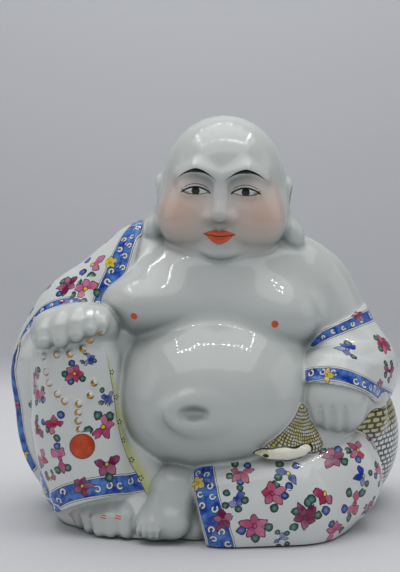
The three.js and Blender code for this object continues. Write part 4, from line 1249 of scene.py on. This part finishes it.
studio = {
    "floor": (0.69, 0.7, 0.725, 1),
    "shade": (0.455, 0.465, 0.495, 1),
    "world": (0.66, 0.69, 0.74, 1),
    "worldStrength": 0.22,
    # name: place, aim, width, depth, power in watts, colour
    "lights": {
        "roof": ((0, -0.13, 1.05), (0, -0.13, 0.1), 1.5, 1.0, 6.4, (1, 0.99, 0.97)),
        "left": ((-0.9, 0, 0.4), (0, 0, 0.15), 0.6, 0.6, 0.7, (1, 0.98, 0.95)),
        "right": ((0.9, 0, 0.4), (0, 0, 0.15), 0.6, 0.6, 0.7, (1, 0.98, 0.95)),
        "front": ((0.1, -1.2, 0.1), (0.02, 0, 0.04), 0.9, 0.2, 1.3, (1, 1, 1)),
        "backdrop": ((0, 0.6, 1.3), (0, 1.1, 0.7), 1.6, 0.3, 3.8, (0.98, 0.99, 1)),
    },
    "mirrored": ("roof", "left", "right"),
    # the row of small lamps round the roof of the tent
    "lamps": {
        "centre": (0, 0.08, 0.75), "wide": 0.72, "deep": 0.4, "apart": 0.045, "size": 0.011, "strength": 80},
    # the paper: where it starts and begins to rise, how wide its bend is, its top, half its width, how
    # far it lies under the figure, and where its painted shade comes in, to the back and from the top down
    "paper": {
        "front": -1.6, "bend": 0.5, "radius": 0.6, "top": 2.6, "half": 2.2, "under": 0.0002,
        "backTone": (0.38, 0.56), "heightTone": (0.4, 0.02)},
}


def addStage(name, points, faces, paint, shader):
    data = bpy.data.meshes.new(name)
    data.from_pydata(points, [], faces)
    made = bpy.data.objects.new(name, data)
    bpy.context.collection.objects.link(made)
    paint.node("ShaderNodeOutputMaterial", {}, {"Surface": shader})
    data.materials.append(paint.material)
    return data


def addLight(name, place, aim, wide, deep, power, colour):
    data = bpy.data.lights.new(name, "AREA")
    data.shape, data.size, data.size_y = "RECTANGLE", wide, deep
    data.energy, data.color = power, colour
    lamp = bpy.data.objects.new(name, data)
    lamp.location = place
    lamp.rotation_euler = (Vector(aim) - Vector(place)).to_track_quat("-Z", "Y").to_euler()
    lamp.visible_camera = False
    lamp.visible_glossy = name in studio["mirrored"]
    bpy.context.collection.objects.link(lamp)


def makeLamps(centre, wide, deep, apart, size, strength):
    across, along = round(wide / apart), round(deep / apart)
    ring = [(i / across - 0.5, side) for i in range(across) for side in (-0.5, 0.5)]
    ring += [(side, i / along - 0.5) for i in range(along) for side in (-0.5, 0.5)]
    square = [(-size / 2, -size / 2), (-size / 2, size / 2), (size / 2, size / 2), (size / 2, -size / 2)]
    cx, cy, cz = centre
    spots = [(cx + u * wide + x, cy + v * deep + y, cz) for u, v in ring for x, y in square]
    faces = [range(4 * i, 4 * i + 4) for i in range(len(ring))]
    paint = Paint("lamp light")
    addStage("lampRow", spots, faces, paint, paint.node("ShaderNodeEmission", {}, {"Strength": strength}))


# A floor that sweeps up into a plain backdrop
def makePaper(front, bend, radius, top, half, under, backTone, heightTone):
    rise = np.linspace(0.1, math.pi / 2, 16)
    profile = [(front, 0), (bend, 0)]
    profile += [(bend + radius * math.sin(a), radius - radius * math.cos(a)) for a in rise]
    profile += [(bend + radius, top)]
    points = [(x, y, z - under) for y, z in profile for x in (-half, half)]
    faces = [(2 * i, 2 * i + 1, 2 * i + 3, 2 * i + 2) for i in range(len(profile) - 1)]
    paint = Paint("plain paper")
    place = paint.split(paint.place())
    # painted shade: the paper is darker towards the back and lower down on its rise, where less light falls
    shade = paint.ramp(place[1], *backTone) * paint.ramp(place[2], *heightTone)
    colour = paint.mix(shade, studio["floor"], studio["shade"])
    data = addStage("sweep", points, faces, paint, paint.node("ShaderNodeBsdfPrincipled", {}, {
        "Base Color": colour, "Roughness": 0.75, "Specular IOR Level": 0.2}))
    data.polygons.foreach_set("use_smooth", [True] * len(faces))


def makeStudio():
    makePaper(**studio["paper"])
    for name, values in studio["lights"].items():
        addLight(name, *values)
    makeLamps(**studio["lamps"])
    world = bpy.data.worlds.new("tent")
    world.use_nodes = True
    background = world.node_tree.nodes["Background"]
    background.inputs["Color"].default_value = studio["world"]
    background.inputs["Strength"].default_value = studio["worldStrength"]
    bpy.context.scene.world = world
    bpy.context.scene.view_settings.view_transform = "Standard"


makeStudio()
print("studio set")
